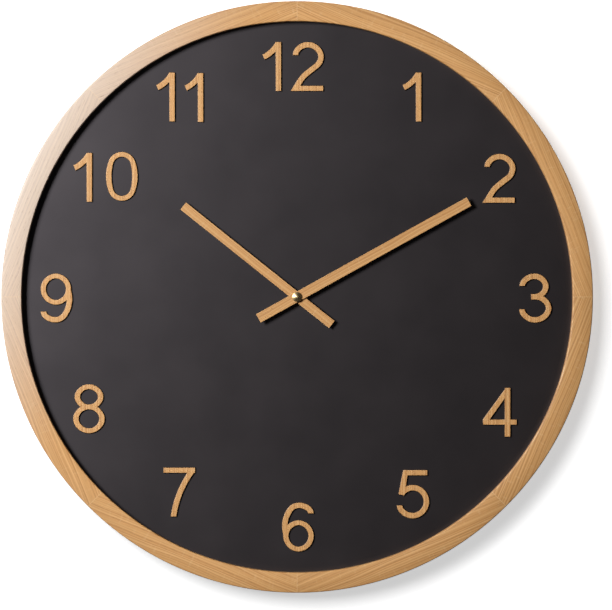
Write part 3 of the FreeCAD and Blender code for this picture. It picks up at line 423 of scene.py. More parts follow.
# ---------------------------------------------------------------- joint dowels
# One planed beech dowel is glued across each butt joint, so none of it shows. Beech is an even pinkish
# brown, with short dark flecks.
def flecked(name, dark, light, grain, depth, stretch=(1, 1, 1), **values):
    """A finish of one colour, broken up by a fine texture: its grain and its depth are in millimetres."""
    material, tree, shader = finish_named(name, light, **values)
    place = node(tree, "ShaderNodeTexCoord").outputs["Object"]
    scale = [1 / (s * grain * MM) for s in stretch]
    sized = node(tree, "ShaderNodeMapping", {"Vector": place, "Scale": scale})
    fine = node(tree, "ShaderNodeTexNoise", {"Vector": sized.outputs[0], "Scale": 1.0,
                "Detail": 3.0}).outputs["Fac"]
    broad = node(tree, "ShaderNodeTexNoise", {"Vector": sized.outputs[0], "Scale": 0.06,
                 "Detail": 2.0}).outputs["Fac"]
    both = node(tree, "ShaderNodeMath", {0: fine, 1: broad}, operation="ADD").outputs[0]
    tint = node(tree, "ShaderNodeValToRGB", {"Fac": node(tree, "ShaderNodeMath", {0: both, 1: 0.5},
                operation="MULTIPLY").outputs[0]}, stops=[(0.38, linear(dark)), (0.62, linear(light))])
    tree.links.new(tint.outputs["Color"], shader.inputs["Base Color"])
    base = shader.inputs["Roughness"].default_value
    gloss = node(tree, "ShaderNodeMapRange", {"Value": broad, "From Min": 0.3, "From Max": 0.7,
                 "To Min": base * 0.85, "To Max": min(base * 1.15, 1.0)}).outputs[0]
    tree.links.new(gloss, shader.inputs["Roughness"])
    bump = node(tree, "ShaderNodeBump", {"Strength": 0.6, "Distance": depth * MM, "Height": fine})
    tree.links.new(bump.outputs[0], shader.inputs["Normal"])
    return material


def finish_part(finish, *cad_nodes):
    """Gives CAD parts whose shape is right their finish."""
    for cad_node in cad_nodes:
        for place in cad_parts[cad_node].material_slots:
            place.material = finish


finish_part(flecked("planed_beech", "#B98D62", "#D6B48A", 0.6, 0.03, (1, 4, 1), Roughness=0.6),
            "frame_dowels")


# ---------------------------------------------------------------- dial board
# A round of 5 mm fibreboard dropped into the rebate from behind. The front and edge are sprayed satin
# black, which leaves a faint orange peel; the back is bare brown board.
DIAL_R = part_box("dial_board")[1].x
DIAL_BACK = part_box("dial_board")[1].y
NECK_HOLE_R = 4.1 * MM

paint, tree, shader = finish_named("sprayed_satin_black", "#0C0A0A", IOR=1.88,
                                   Specular_Tint=linear("#FFF5FF"))
place = node(tree, "ShaderNodeTexCoord").outputs["Object"]
# Orange peel about 2 mm across, drawn as coarse as it needs to show, and cloudy patches of 60 mm
peel = node(tree, "ShaderNodeTexNoise", {"Vector": place, "Scale": 1 / (2.2 * MM),
            "Detail": 2.0}).outputs["Fac"]
cloud = node(tree, "ShaderNodeTexNoise", {"Vector": place, "Scale": 1 / (60 * MM),
             "Detail": 4.0}).outputs["Fac"]
tint = node(tree, "ShaderNodeValToRGB", {"Fac": cloud}, stops=[
    (0.3, linear("#0C0806")), (0.7, linear("#100B08"))]).outputs["Color"]
tree.links.new(tint, shader.inputs["Base Color"])
gloss = node(tree, "ShaderNodeMapRange", {"Value": cloud, "From Min": 0.3, "From Max": 0.7,
             "To Min": 0.33, "To Max": 0.35}).outputs[0]
tree.links.new(gloss, shader.inputs["Roughness"])
bump = node(tree, "ShaderNodeBump", {"Strength": 0.12, "Distance": 0.05 * MM, "Height": peel})
tree.links.new(bump.outputs[0], shader.inputs["Normal"])

board_back, tree, shader = finish_named("bare_fibreboard", "#8B6A4A", Roughness=0.85)
place = node(tree, "ShaderNodeTexCoord").outputs["Object"]
# Pressed fibres, about 0.8 mm
felt = node(tree, "ShaderNodeTexNoise", {"Vector": place, "Scale": 1 / (0.8 * MM),
            "Detail": 5.0}).outputs["Fac"]
tint = node(tree, "ShaderNodeValToRGB", {"Fac": felt}, stops=[
    (0.3, linear("#6B4C31")), (0.7, linear("#A07F5B"))]).outputs["Color"]
tree.links.new(tint, shader.inputs["Base Color"])
bump = node(tree, "ShaderNodeBump", {"Strength": 0.4, "Distance": 0.1 * MM, "Height": felt})
tree.links.new(bump.outputs[0], shader.inputs["Normal"])

dial_outline = [
    (DIAL_BACK, NECK_HOLE_R), (DIAL_FACE, NECK_HOLE_R), (DIAL_FACE, DIAL_R / 3), (DIAL_FACE, DIAL_R * 2 / 3),
    *rounded(DIAL_FACE, DIAL_R, 1, -1, 0.3 * MM, 3)[::-1],
    *rounded(DIAL_BACK, DIAL_R, -1, -1, 0.3 * MM, 3), (DIAL_BACK, DIAL_R * 2 / 3), (DIAL_BACK, DIAL_R / 3),
]
dial = finished("painted_dial", turned("painted_dial", dial_outline, paint, steps=240))
dial.data.materials.append(board_back)
for face in dial.data.polygons:
    face.material_index = 1 if face.normal.y > 0.9 else 0
stands_for(dial, "clock_case", "dial_paint", "dial_board")


# ---------------------------------------------------------------- numerals
# Twelve numerals laser-cut from one 2 mm oak board and glued to the dial. Their grain stands upright;
# the laser leaves the sides scorched brown, and sanding eases the front corners back to pale wood.
EASED_NUMERAL = 0.6 * MM
NUMERAL_TONE = 0.25


def front_outlines(cad_node):
    """The closed outlines of a flat CAD part's front face, with the part on the left of each one."""
    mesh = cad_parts[cad_node].data
    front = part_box(cad_node)[0].y
    work = bmesh.new()
    work.from_mesh(mesh)
    bmesh.ops.remove_doubles(work, verts=work.verts, dist=1e-6)
    work.normal_update()
    faces = {f for f in work.faces if f.normal.y < -0.99 and abs(f.calc_center_median().y - front) < 1e-6}
    after = {}
    for face in faces:
        for loop in face.loops:
            if not any(f in faces for f in loop.edge.link_faces if f is not face):
                after[loop.vert] = loop.link_loop_next.vert
    outlines = []
    while after:
        vertex = next(iter(after))
        outline = []
        while vertex in after:
            outline.append(Vector((vertex.co.x, vertex.co.z)))
            vertex = after.pop(vertex)
        outlines.append(outline)
    work.free()
    return outlines


def inset(outline, distance):
    """An outline moved towards the part by a distance, with its corners kept."""
    moved = []
    for k, point in enumerate(outline):
        into = (point - outline[k - 1]).normalized()
        out = (outline[(k + 1) % len(outline)] - point).normalized()
        lefts = Vector((-into.y, into.x)), Vector((-out.y, out.x))
        moved.append(point + (lefts[0] + lefts[1]) * distance / max(1 + lefts[0].dot(lefts[1]), 0.4))
    return moved


def islands(outlines):
    """The numbers of the outlines that bound each separate part: its rim, then its holes."""
    def area(outline):
        return sum(outline[k - 1].cross(p) for k, p in enumerate(outline)) / 2

    def inside(point, outline):
        crossings = 0
        for k, b in enumerate(outline):
            a = outline[k - 1]
            if (a.y > point.y) != (b.y > point.y):
                crossings += point.x < a.x + (b.x - a.x) * (point.y - a.y) / (b.y - a.y)
        return crossings % 2 == 1

    rims = [k for k, outline in enumerate(outlines) if area(outline) > 0]
    holes = [k for k in range(len(outlines)) if k not in rims]
    return [[rim, *[h for h in holes if inside(outlines[h][0], outlines[rim])]] for rim in rims]


def sawn_plate(name, cad_node, eased, face_finish, side_finish):
    """A flat part with its CAD outline, its front corners rounded and its sides in a finish of their own.

    The side's finish starts a third of the way round the corner."""
    low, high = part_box(cad_node)
    steps = [radians(30 * k) for k in range(4)]
    levels = [(eased * (1 - sin(t)), low.y + eased * (1 - cos(t))) for t in steps] + [(0.0, high.y)]
    outlines = front_outlines(cad_node)
    corners, faces, sides = [], [], []
    count = sum(len(outline) for outline in outlines)
    for distance, y in levels:
        for outline in outlines:
            corners += [(p.x, y, p.y) for p in inset(outline, distance)]
    for level in range(len(levels) - 1):
        first = level * count
        for outline in outlines:
            size = len(outline)
            for k in range(size):
                a, b = first + k, first + (k + 1) % size
                faces.append((a, b, b + count, a + count))
                sides.append(level > 0)
            first += size
    for level, at_back in ((0, False), (len(levels) - 1, True)):
        for island in islands(outlines):
            names, loops = [], []
            for which in island:
                first = level * count + sum(len(outline) for outline in outlines[:which])
                names += range(first, first + len(outlines[which]))
                loops.append([Vector(corners[k]) for k in range(first, first + len(outlines[which]))])
            for triangle in tessellate_polygon(loops):
                faces.append(tuple(names[k] for k in triangle))
                sides.append(at_back)
    mesh = bpy.data.meshes.new(name)
    mesh.from_pydata(corners, [], faces)
    mesh.materials.append(face_finish)
    mesh.materials.append(side_finish)
    for face, side in zip(mesh.polygons, sides):
        face.material_index = int(side)
    return finished(name, mesh, sharp=50)


scorched = oiled_oak("laser_scorched_oak", scorched=True)
for hour in range(1, 13):
    cad_node = f"numeral_{hour}"
    numeral = sawn_plate(f"oak_numeral_{hour}", cad_node, EASED_NUMERAL, oak, scorched)
    offset = Vector((37.0 * hour, 61.0 * hour, 5.0 * hour))
    graining(numeral.data, Vector((0, 0, 1)), Vector((1, 0, 0)), offset, NUMERAL_TONE)
    stands_for(numeral, "clock_case", "oak", cad_node)


# ---------------------------------------------------------------- dial clips
# Eight angles bent from 1.2 mm zinc-plated steel strap press the dial board forward against the lip.
# Each is held by a pan-head wood screw, driven outwards into the rebate's wall midway along a block.
CLIP_HALF, CLIP_T, CLIP_LEG = 6 * MM, 1.2 * MM, 15 * MM
CLIP_TOP = REBATE_R - 0.1 * MM
SCREW_Y = DIAL_BACK + 9 * MM
RECESS_LONG, RECESS_SHORT, RECESS_DEEP = 1.6 * MM, 0.4 * MM, 0.9 * MM
arm = [(RECESS_SHORT, RECESS_LONG), (RECESS_SHORT, RECESS_SHORT), (RECESS_LONG, RECESS_SHORT)]
cross = [(a * i, b * k) for i, k, order in ((1, 1, 1), (1, -1, -1), (-1, -1, 1), (-1, 1, -1))
         for a, b in arm[::order]]

# Bright zinc plate is a cool grey that clouds over, and handling leaves hair scratches
zinc = flecked("bright_zinc_steel", "#9EA2A6", "#C6C7C5", 0.9, 0.01, (1, 6, 1), Metallic=1.0, Roughness=0.34)


def ring_tree():
    """Geometry nodes that set copies of one piece, drawn at 12 o'clock, round the Y axis."""
    tree = bpy.data.node_groups.new("set_in_a_ring", "GeometryNodeTree")
    for name, kind in (("Piece", "Geometry"), ("Count", "Int"), ("First", "Float"), ("Finish", "Material")):
        tree.interface.new_socket(name=name, in_out="INPUT", socket_type="NodeSocket" + kind)
    tree.interface.new_socket(name="Geometry", in_out="OUTPUT", socket_type="NodeSocketGeometry")
    given = node(tree, "NodeGroupInput").outputs
    points = node(tree, "GeometryNodePoints", {"Count": given["Count"]}).outputs[0]
    index = node(tree, "GeometryNodeInputIndex").outputs[0]
    share = node(tree, "ShaderNodeMath", {0: index, 1: given["Count"]}, operation="DIVIDE").outputs[0]
    turn = node(tree, "ShaderNodeMath", {0: share, 1: tau, 2: given["First"]},
                operation="MULTIPLY_ADD").outputs[0]
    about = node(tree, "ShaderNodeCombineXYZ", {"Y": turn}).outputs[0]
    copies = node(tree, "GeometryNodeInstanceOnPoints", {"Points": points, "Instance": given["Piece"],
                  "Rotation": about}).outputs[0]
    real = node(tree, "GeometryNodeRealizeInstances", {"Geometry": copies}).outputs[0]
    made = node(tree, "GeometryNodeSetMaterial", {"Geometry": real, "Material": given["Finish"]}).outputs[0]
    node(tree, "NodeGroupOutput", {"Geometry": made})
    return tree


def with_eased_edges(mesh, width, corner=30):
    """A mesh with its doubles merged, its flat faces joined and its corners rounded."""
    work = bmesh.new()
    work.from_mesh(mesh)
    bmesh.ops.remove_doubles(work, verts=work.verts, dist=1e-6)
    bmesh.ops.dissolve_limit(work, angle_limit=radians(1), verts=work.verts, edges=work.edges)
    corners = [e for e in work.edges if e.is_manifold and e.calc_face_angle(0) > radians(corner)]
    bmesh.ops.bevel(work, geom=corners, offset=width, offset_type="OFFSET", segments=2, profile=0.5,
                    affect="EDGES", clamp_overlap=True)
    bmesh.ops.triangulate(work, faces=[f for f in work.faces if len(f.verts) > 4])
    result = bpy.data.meshes.new("eased")
    work.to_mesh(result)
    work.free()
    return result


def eased_part(name, cad_node, width, finish):
    """A CAD part's shape with its corners rounded, as a piece of its own."""
    mesh = with_eased_edges(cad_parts[cad_node].data, width)
    mesh.materials.append(finish)
    mesh.polygons.foreach_set("material_index", [0] * len(mesh.polygons))
    return finished(name, mesh, sharp=35)


# One leg is screwed to the rebate's wall and the other is a foot on the dial board
bend = 1.0 * MM
screwed, foot = CLIP_TOP, DIAL_BACK
inside_bend = [(foot + CLIP_T + bend * (1 - sin(t)), screwed - CLIP_T - bend * (1 - cos(t)))
               for t in (radians(15 * k) for k in range(7))]
outside_bend = [(foot + 2 * bend * (1 - cos(t)), screwed - 2 * bend * (1 - sin(t)))
                for t in (radians(15 * k) for k in range(7))]
strap = [(foot + CLIP_T, screwed - CLIP_LEG), (foot, screwed - CLIP_LEG), *outside_bend,
         (foot + CLIP_LEG, screwed), (foot + CLIP_LEG, screwed - CLIP_T), *inside_bend]
clip = prism([(-y, z) for y, z in strap], -CLIP_HALF, CLIP_HALF)
clip.transform(Matrix.Rotation(pi / 2, 4, "Z"))
clip = with_eased_edges(clip, 0.15 * MM)
ring_of = ring_tree()
half_block = radians(360 / BLOCKS / 2)
clips = plain_mesh(ring_of, "zinc_dial_clips", clip, {"Count": BLOCKS, "First": half_block, "Finish": zinc})
stands_for(finished("zinc_dial_clips", clips), "clock_case", "zinc_steel", "dial_clips")

HEAD_R, HEAD_T, SHANK_R, SHANK_L = 2.8 * MM, 1.6 * MM, 1.5 * MM, 11 * MM
pan_head = [(HEAD_T, 0.0), *rounded(HEAD_T, HEAD_R, -1, -1, 1.1 * MM, 5)[::-1],
            *rounded(0, HEAD_R, 1, -1, 0.15 * MM, 2),
            (0.0, SHANK_R), (2.5 * MM - SHANK_L, SHANK_R), (-SHANK_L, 0.0)]
screw = less(turned("pan_head_screw", pan_head, zinc, steps=48),
             prism(cross, HEAD_T - RECESS_DEEP, HEAD_T + MM))
inwards = Matrix.Translation((0, SCREW_Y, CLIP_TOP - CLIP_T)) @ Matrix.Rotation(-pi / 2, 4, "X")
screw.transform(inwards)
screws = plain_mesh(ring_of, "zinc_clip_screws", screw,
                    {"Count": BLOCKS, "First": half_block, "Finish": zinc})
stands_for(finished("zinc_clip_screws", screws), "clock_case", "zinc_steel", "dial_clip_screws")


# ---------------------------------------------------------------- hanger
# A keyhole plate stamped from 1.5 mm zinc-plated steel, let in flush across the top joint and held by two
# countersunk screws. The clock drops over a screw head in the wall.
stands_for(eased_part("zinc_hanger_plate", "hanger_plate", 0.2 * MM, zinc), "clock_case", "zinc_steel",
           "hanger_plate")
SUNK_R, SUNK_T, SUNK_SHANK_R, SUNK_L = 3.2 * MM, 1.5 * MM, 1.6 * MM, 14 * MM
SCREW_X = 22 * MM
sunk_head = [(0.0, 0.0), (0.0, SUNK_R - 0.1 * MM), (-0.1 * MM, SUNK_R - 0.1 * MM), (-SUNK_T, SUNK_SHANK_R),
             (2.5 * MM - SUNK_L, SUNK_SHANK_R), (-SUNK_L, 0.0)]
pair = bmesh.new()
for side in (-1, 1):
    screw = less(turned("sunk_screw", sunk_head, zinc, steps=48), prism(cross, -RECESS_DEEP, MM))
    screw.transform(Matrix.Translation((side * SCREW_X, BACK, hanger_high.z - STRAP_W / 2)) @
                    Matrix.Rotation(0.5 * side, 4, "Y"))
    pair.from_mesh(screw)
screws = bpy.data.meshes.new("zinc_hanger_screws")
pair.to_mesh(screws)
pair.free()
screws.materials.append(zinc)
stands_for(finished("zinc_hanger_screws", screws), "clock_case", "zinc_steel", "hanger_screws")


# ---------------------------------------------------------------- movement
# A 56 mm square quartz movement hangs on the dial by its brass neck: a rubber washer behind the board, a
# steel washer and a round black nut in front. The case is moulded black ABS, a front tray and a back lid.
gasket = flecked("moulded_rubber", "#1B1B1B", "#2A2A2A", 0.5, 0.02, Roughness=0.8)
gasket_low, gasket_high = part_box("movement_gasket")
washer = [(gasket_low.y, NECK_HOLE_R), (gasket_low.y, gasket_high.x), (gasket_high.y, gasket_high.x),
          (gasket_high.y, NECK_HOLE_R)]
stands_for(finished("rubber_gasket", turned("rubber_gasket", washer, gasket)), "clock_case", "rubber",
           "movement_gasket")

# Spark-eroded moulds leave an even matt grain, drawn 0.5 mm across
abs_black = flecked("moulded_black_abs", "#161618", "#222225", 0.5, 0.03, Roughness=0.52)
EASED_CASE = 0.35 * MM
for which in ("front", "back"):
    cad_node = f"movement_case_{which}"
    stands_for(eased_part(f"moulded_case_{which}", cad_node, EASED_CASE, abs_black), "clock_case",
               "case_plastic", cad_node)

# Moulded on the lid: a ring round the setting knob, and which way the cell goes in
case_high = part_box("movement_case_back")[1]
knob_low, knob_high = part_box("setting_knob")
knob_at = (knob_low + knob_high) / 2
knob_r = (knob_high.z - knob_low.z) / 2
PROUD, BAR_HALF, STROKE_HALF = 0.25 * MM, 1.6 * MM, 0.3 * MM
marks = bmesh.new()
hoop = turned("hoop", [(case_high.y - PROUD, knob_r + 2.0 * MM), (case_high.y + PROUD, knob_r + 2.1 * MM),
                       (case_high.y + PROUD, knob_r + 2.6 * MM),
                       (case_high.y - PROUD, knob_r + 2.7 * MM)], abs_black)
hoop.transform(Matrix.Translation((knob_at.x, 0, knob_at.z)))
marks.from_mesh(hoop)
MARK_X, MARK_Z = 21 * MM, -9 * MM
for x, half_x, half_z in ((MARK_X, BAR_HALF, STROKE_HALF), (MARK_X, STROKE_HALF, BAR_HALF),
                          (-MARK_X, BAR_HALF, STROKE_HALF)):
    corners = [(x - half_x, MARK_Z - half_z), (x + half_x, MARK_Z - half_z), (x + half_x, MARK_Z + half_z),
               (x - half_x, MARK_Z + half_z)]
    marks.from_mesh(prism(corners, case_high.y - PROUD,
                    case_high.y + PROUD * (1 if half_x > half_z else 0.9)))
raised = bpy.data.meshes.new("moulded_case_marks")
marks.to_mesh(raised)
marks.free()
raised.materials.append(abs_black)
piece = finished("moulded_case_marks", raised)
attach(piece, "clock_case")

black_zinc = flecked("black_zinc_plate", "#101011", "#262628", 0.6, 0.01, Metallic=0.7, Roughness=0.38)
for name, cad_node in (("black_dial_nut", "dial_nut"), ("black_dial_washer", "dial_washer")):
    stands_for(eased_part(name, cad_node, 0.12 * MM, black_zinc), "clock_case", "black_nut", cad_node)


# ---------------------------------------------------------------- train, motor and electronics
# Shut in the case: acetal plates and wheels, a copper coil on a soft iron stator, a ferrite rotor and a
# small circuit board with its chip under a drop of epoxy and its crystal in a tin can.
acetal = flecked("moulded_acetal", "#D6D4C8", "#E8E6DC", 0.8, 0.01, Roughness=0.38)
finish_part(acetal, "middle_plate", "train_plate", "coil_bobbin", "hour_wheel", "minute_wheel",
            "centre_wheel", "third_wheel", "seconds_wheel", "fifth_wheel", "rotor_pinion")
finish_part(flecked("sintered_ferrite", "#2B2A2A", "#454342", 0.3, 0.02, Roughness=0.7), "rotor_magnet")
# Stamped laminations keep the rolling marks of the sheet, along X
finish_part(flecked("rolled_soft_iron", "#6E6E70", "#8E8D8C", 0.2, 0.01, (20, 1, 1), Metallic=1.0,
                    Roughness=0.42), "stator")
finish_part(flecked("glossy_epoxy_drop", "#0B0B0C", "#151516", 0.7, 0.02, Roughness=0.25), "driver_chip")
finish_part(zinc, "quartz_crystal")

# Turns of enamelled wire lie side by side, drawn 0.2 mm apart
copper, tree, shader = finish_named("enamelled_copper_wire", "#B4622E", Metallic=1.0, Roughness=0.3)
place = node(tree, "ShaderNodeTexCoord").outputs["Object"]
turns = node(tree, "ShaderNodeTexWave", {"Vector": place, "Scale": 1 / (0.2 * MM) / 20, "Distortion": 0.4},
             wave_type="BANDS", bands_direction="X").outputs["Fac"]
# The colour darkens where the bands dip, between turns: painted shade in the grooves
tint = node(tree, "ShaderNodeValToRGB", {"Fac": turns}, stops=[
    (0.2, linear("#7A3A16")), (0.7, linear("#C8743A"))])
tree.links.new(tint.outputs["Color"], shader.inputs["Base Color"])
bump = node(tree, "ShaderNodeBump", {"Strength": 0.8, "Distance": 0.05 * MM, "Height": turns})
tree.links.new(bump.outputs[0], shader.inputs["Normal"])
finish_part(copper, "coil_winding")

# Green solder resist, paler over the copper tracks, which are about 1 mm wide
resist, tree, shader = finish_named("green_solder_resist", "#1D4A2B", Roughness=0.35)
place = node(tree, "ShaderNodeTexCoord").outputs["Object"]
cells = node(tree, "ShaderNodeTexVoronoi", {"Vector": place, "Scale": 1 / (3 * MM)}, distance="MANHATTAN",
             feature="F1").outputs["Distance"]
tint = node(tree, "ShaderNodeValToRGB", {"Fac": cells}, stops=[
    (0.42, linear("#2F6B3E")), (0.46, linear("#1A4226"))]).outputs["Color"]
tree.links.new(tint, shader.inputs["Base Color"])
bump = node(tree, "ShaderNodeBump", {"Strength": 0.4, "Distance": 0.03 * MM, "Height": cells})
tree.links.new(bump.outputs[0], shader.inputs["Normal"])
finish_part(resist, "circuit_board")


# ---------------------------------------------------------------- cell and contacts
# One AA cell lies in the open bay between two nickel-plated contacts: a dimpled plate at its plus end and
# a plate with a flat conical spring at its minus end. The cell is a steel can in a dark shrink sleeve.
def coil_tree():
    """Geometry nodes that wind a round wire into a cone along the Z axis."""
    tree = bpy.data.node_groups.new("wound_wire", "GeometryNodeTree")
    for name, kind in (("Source", "Geometry"), ("Turns", "Float"), ("Start Radius", "Float"),
                       ("End Radius", "Float"), ("Length", "Float"), ("Wire Radius", "Float"),
                       ("Finish", "Material")):
        tree.interface.new_socket(name=name, in_out="INPUT", socket_type="NodeSocket" + kind)
    tree.interface.new_socket(name="Geometry", in_out="OUTPUT", socket_type="NodeSocketGeometry")
    given = node(tree, "NodeGroupInput").outputs
    spiral = node(tree, "GeometryNodeCurveSpiral", {
        "Resolution": 36, "Rotations": given["Turns"], "Start Radius": given["Start Radius"],
        "End Radius": given["End Radius"], "Height": given["Length"]}).outputs[0]
    round_wire = node(tree, "GeometryNodeCurvePrimitiveCircle",
                      {"Resolution": 10, "Radius": given["Wire Radius"]})
    wire = node(tree, "GeometryNodeCurveToMesh", {"Curve": spiral, "Profile Curve": round_wire.outputs[0],
                "Fill Caps": True}).outputs[0]
    real = node(tree, "GeometryNodeRealizeInstances", {"Geometry": wire}).outputs[0]
    made = node(tree, "GeometryNodeSetMaterial", {"Geometry": real, "Material": given["Finish"]}).outputs[0]
    node(tree, "NodeGroupOutput", {"Geometry": made})
    return tree


nickel = flecked("nickel_plated_spring_steel", "#B1ABA0", "#D8D3C8", 0.5, 0.01, (1, 1, 8), Metallic=1.0,
                 Roughness=0.25)
cell_low, cell_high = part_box("battery_cell")
contact_low, contact_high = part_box("battery_contacts")
cell_axis = (cell_low + cell_high) / 2
CONTACT_T, SPRING_L, WIRE_R = 0.4 * MM, 1.5 * MM, 0.3 * MM
to_x = Matrix.Rotation(-pi / 2, 4, "Z")
contacts = bmesh.new()
for x in (contact_low.x, contact_high.x - CONTACT_T):
    corners = [(x, contact_low.z), (x + CONTACT_T, contact_low.z), (x + CONTACT_T, contact_high.z),
               (x, contact_high.z)]
    contacts.from_mesh(with_eased_edges(prism(corners, contact_low.y, contact_high.y), 0.1 * MM))
dimple = turned("dimple", [(0.1 * MM, 0.0), *rounded(-0.25 * MM, 1.8 * MM, 1, -1, 0.25 * MM, 3),
                           (-0.25 * MM, 0.0)], nickel, steps=32)
dimple.transform(Matrix.Translation((contact_high.x - CONTACT_T, cell_axis.y, cell_axis.z)) @ to_x)
contacts.from_mesh(dimple)
source = bpy.data.meshes.new("none")
spring = plain_mesh(coil_tree(), "spring", source, {
    "Turns": 3.2, "Start Radius": 3.7 * MM, "End Radius": 2.3 * MM, "Length": SPRING_L - 2 * WIRE_R,
    "Wire Radius": WIRE_R, "Finish": nickel})
spring.transform(Matrix.Translation((contact_low.x + CONTACT_T + WIRE_R, cell_axis.y, cell_axis.z)) @
                 Matrix.Rotation(pi / 2, 4, "Y"))
contacts.from_mesh(spring)
pressed = bpy.data.meshes.new("nickel_contacts")
contacts.to_mesh(pressed)
contacts.free()
pressed.materials.append(nickel)
stands_for(finished("nickel_contacts", pressed), "clock_case", "zinc_steel", "battery_contacts")

CELL_R = (cell_high.z - cell_low.z) / 2
NUB_R, NUB_L, LIP = 2.7 * MM, 1.2 * MM, 0.3 * MM
body_l = cell_high.x - cell_low.x - NUB_L
MINUS_R, PLUS_R = 4.7 * MM, 5.3 * MM
can_outline = [
    (LIP, 0.0), (LIP, MINUS_R), (0.0, MINUS_R + LIP), *rounded(0, CELL_R, 1, -1, 0.6 * MM)[::-1],
    *rounded(body_l, CELL_R, -1, -1, 0.6 * MM), (body_l, PLUS_R + LIP), (body_l - LIP, PLUS_R),
    (body_l - LIP, NUB_R), *rounded(body_l + NUB_L, NUB_R, -1, -1, 0.35 * MM, 3), (body_l + NUB_L, 0.0),
]

# A heat-shrunk printed sleeve: glossy, with faint ripples round the can and a pale band at the plus end
sleeve, tree, shader = finish_named("printed_shrink_sleeve", "#1A1C21", Roughness=0.22, Coat_Weight=0.4)
place = node(tree, "ShaderNodeTexCoord").outputs["Object"]
split = node(tree, "ShaderNodeSeparateXYZ", {"Vector": place}).outputs
share = node(tree, "ShaderNodeMapRange", {"Value": split["X"], "From Min": cell_low.x,
             "From Max": cell_high.x})
bands = node(tree, "ShaderNodeValToRGB", {"Fac": share.outputs[0]}, stops=[
    (0.0, linear("#1A1C21")), (0.76, linear("#1A1C21")), (0.765, linear("#C9CBCD")),
    (0.93, linear("#C9CBCD")), (0.935, linear("#2A2D33"))])
tree.links.new(bands.outputs["Color"], shader.inputs["Base Color"])
ripple = node(tree, "ShaderNodeMapping", {"Vector": place,
              "Scale": [1 / (k * MM) for k in (1.5, 9, 9)]}).outputs[0]
ripple = node(tree, "ShaderNodeTexNoise", {"Vector": ripple, "Scale": 1.0, "Detail": 2.0}).outputs["Fac"]
bump = node(tree, "ShaderNodeBump", {"Strength": 0.3, "Distance": 0.05 * MM, "Height": ripple})
tree.links.new(bump.outputs[0], shader.inputs["Normal"])

can = turned("sleeved_cell", can_outline, sleeve)
can.materials.append(nickel)
for face in can.polygons:
    middle = face.center
    r = Vector((middle.x, middle.z)).length
    face.material_index = 1 if r < (MINUS_R if middle.y < body_l / 2 else PLUS_R) else 0
can.transform(Matrix.Translation((cell_low.x, cell_axis.y, cell_axis.z)) @ to_x)
stands_for(finished("sleeved_cell", can), "battery", "cell_jacket", "battery_cell")


# ---------------------------------------------------------------- setting knob
# A moulded thumb wheel on the end of the minute wheel's arbor, with 24 flutes so that it can be turned with
# a fingertip, and a dished face.
KNOB_BORE, KNOB_SHEET = 1.2 * MM, 1.0 * MM
knob_outline = [
    (knob_low.y, KNOB_BORE), (knob_high.y - KNOB_SHEET, KNOB_BORE), (knob_high.y - KNOB_SHEET, 0.0),
    (knob_high.y - 0.7 * MM, 0.0), (knob_high.y - 0.5 * MM, knob_r * 0.55), (knob_high.y, knob_r * 0.78),
    *rounded(knob_high.y, knob_r, -1, -1, 0.4 * MM, 3)[::-1],
    *rounded(knob_low.y, knob_r, 1, -1, 0.3 * MM, 3),
]
knob = turned("moulded_setting_knob", knob_outline, abs_black, steps=288, Flutes=24, Flute_Depth=0.5 * MM,
              Flute_Radius=knob_r * 0.85)
knob.transform(Matrix.Translation((knob_at.x, 0, knob_at.z)))
stands_for(finished("moulded_setting_knob", knob, sharp=50), "minute_wheel_set", "case_plastic",
           "setting_knob")


# ---------------------------------------------------------------- hands
# Two plain bars of 1.6 mm oak with square ends and the grain along them, each on a flanged brass bush.
# The minute hand runs in front, under a turned brass cap nut.
EASED_HAND = 0.25 * MM
for which, clock, tone, offset in (("hour", 308.6, 0.05, (5200, 12, 3)),
                                   ("minute", 61.0, 0.0, (5900, 71, 8))):
    hand = sawn_plate(f"oak_{which}_hand", f"{which}_hand", EASED_HAND, oak, oak)
    turn = radians(clock)
    along, across = Vector((sin(turn), 0, cos(turn))), Vector((cos(turn), 0, -sin(turn)))
    graining(hand.data, along, across, Vector(offset), tone)
    stands_for(hand, f"{which}_hand_set", "oak", f"{which}_hand")

brass, tree, shader = finish_named("turned_brass", "#E6CB98", Metallic=1.0, Roughness=0.36)
place = node(tree, "ShaderNodeTexCoord").outputs["Object"]
# Tool marks are rings about 0.12 mm apart round the hands' axis
marks = node(tree, "ShaderNodeTexWave", {"Vector": place, "Scale": 1 / (0.9 * MM), "Distortion": 0.3},
             wave_type="RINGS", rings_direction="Y").outputs["Fac"]
bump = node(tree, "ShaderNodeBump", {"Strength": 0.5, "Distance": 0.02 * MM, "Height": marks})
tree.links.new(bump.outputs[0], shader.inputs["Normal"])

for which in ("hour", "minute"):
    cad_node = f"{which}_hand_bushing"
    stands_for(eased_part(f"brass_{which}_bush", cad_node, 0.1 * MM, brass), f"{which}_hand_set", "brass",
               cad_node)
finish_part(brass, "minute_arbor")
neck_low, neck_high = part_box("threaded_neck")
NECK_R, NECK_BORE, PITCH, THREAD = 3.95 * MM, 2.55 * MM, 0.75 * MM, 0.3 * MM
FLANGE_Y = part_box("movement_case_front")[0].y
rings = int((FLANGE_Y - neck_low.y) / PITCH) - 1
# The thread is drawn as rings, which look the same on so short a neck
thread = [corner for k in range(rings) for corner in (
    (FLANGE_Y - PITCH * (k + 0.5), NECK_R - THREAD), (FLANGE_Y - PITCH * (k + 1), NECK_R))]
neck_outline = [(neck_high.y, NECK_BORE), (neck_high.y, neck_high.x), (FLANGE_Y, neck_high.x), *thread,
                (neck_low.y + 0.2 * MM, NECK_R), (neck_low.y, NECK_R - 0.2 * MM), (neck_low.y, NECK_BORE)]
neck = finished("brass_neck", turned("brass_neck", neck_outline, brass), sharp=30)
stands_for(neck, "clock_case", "brass", "threaded_neck")

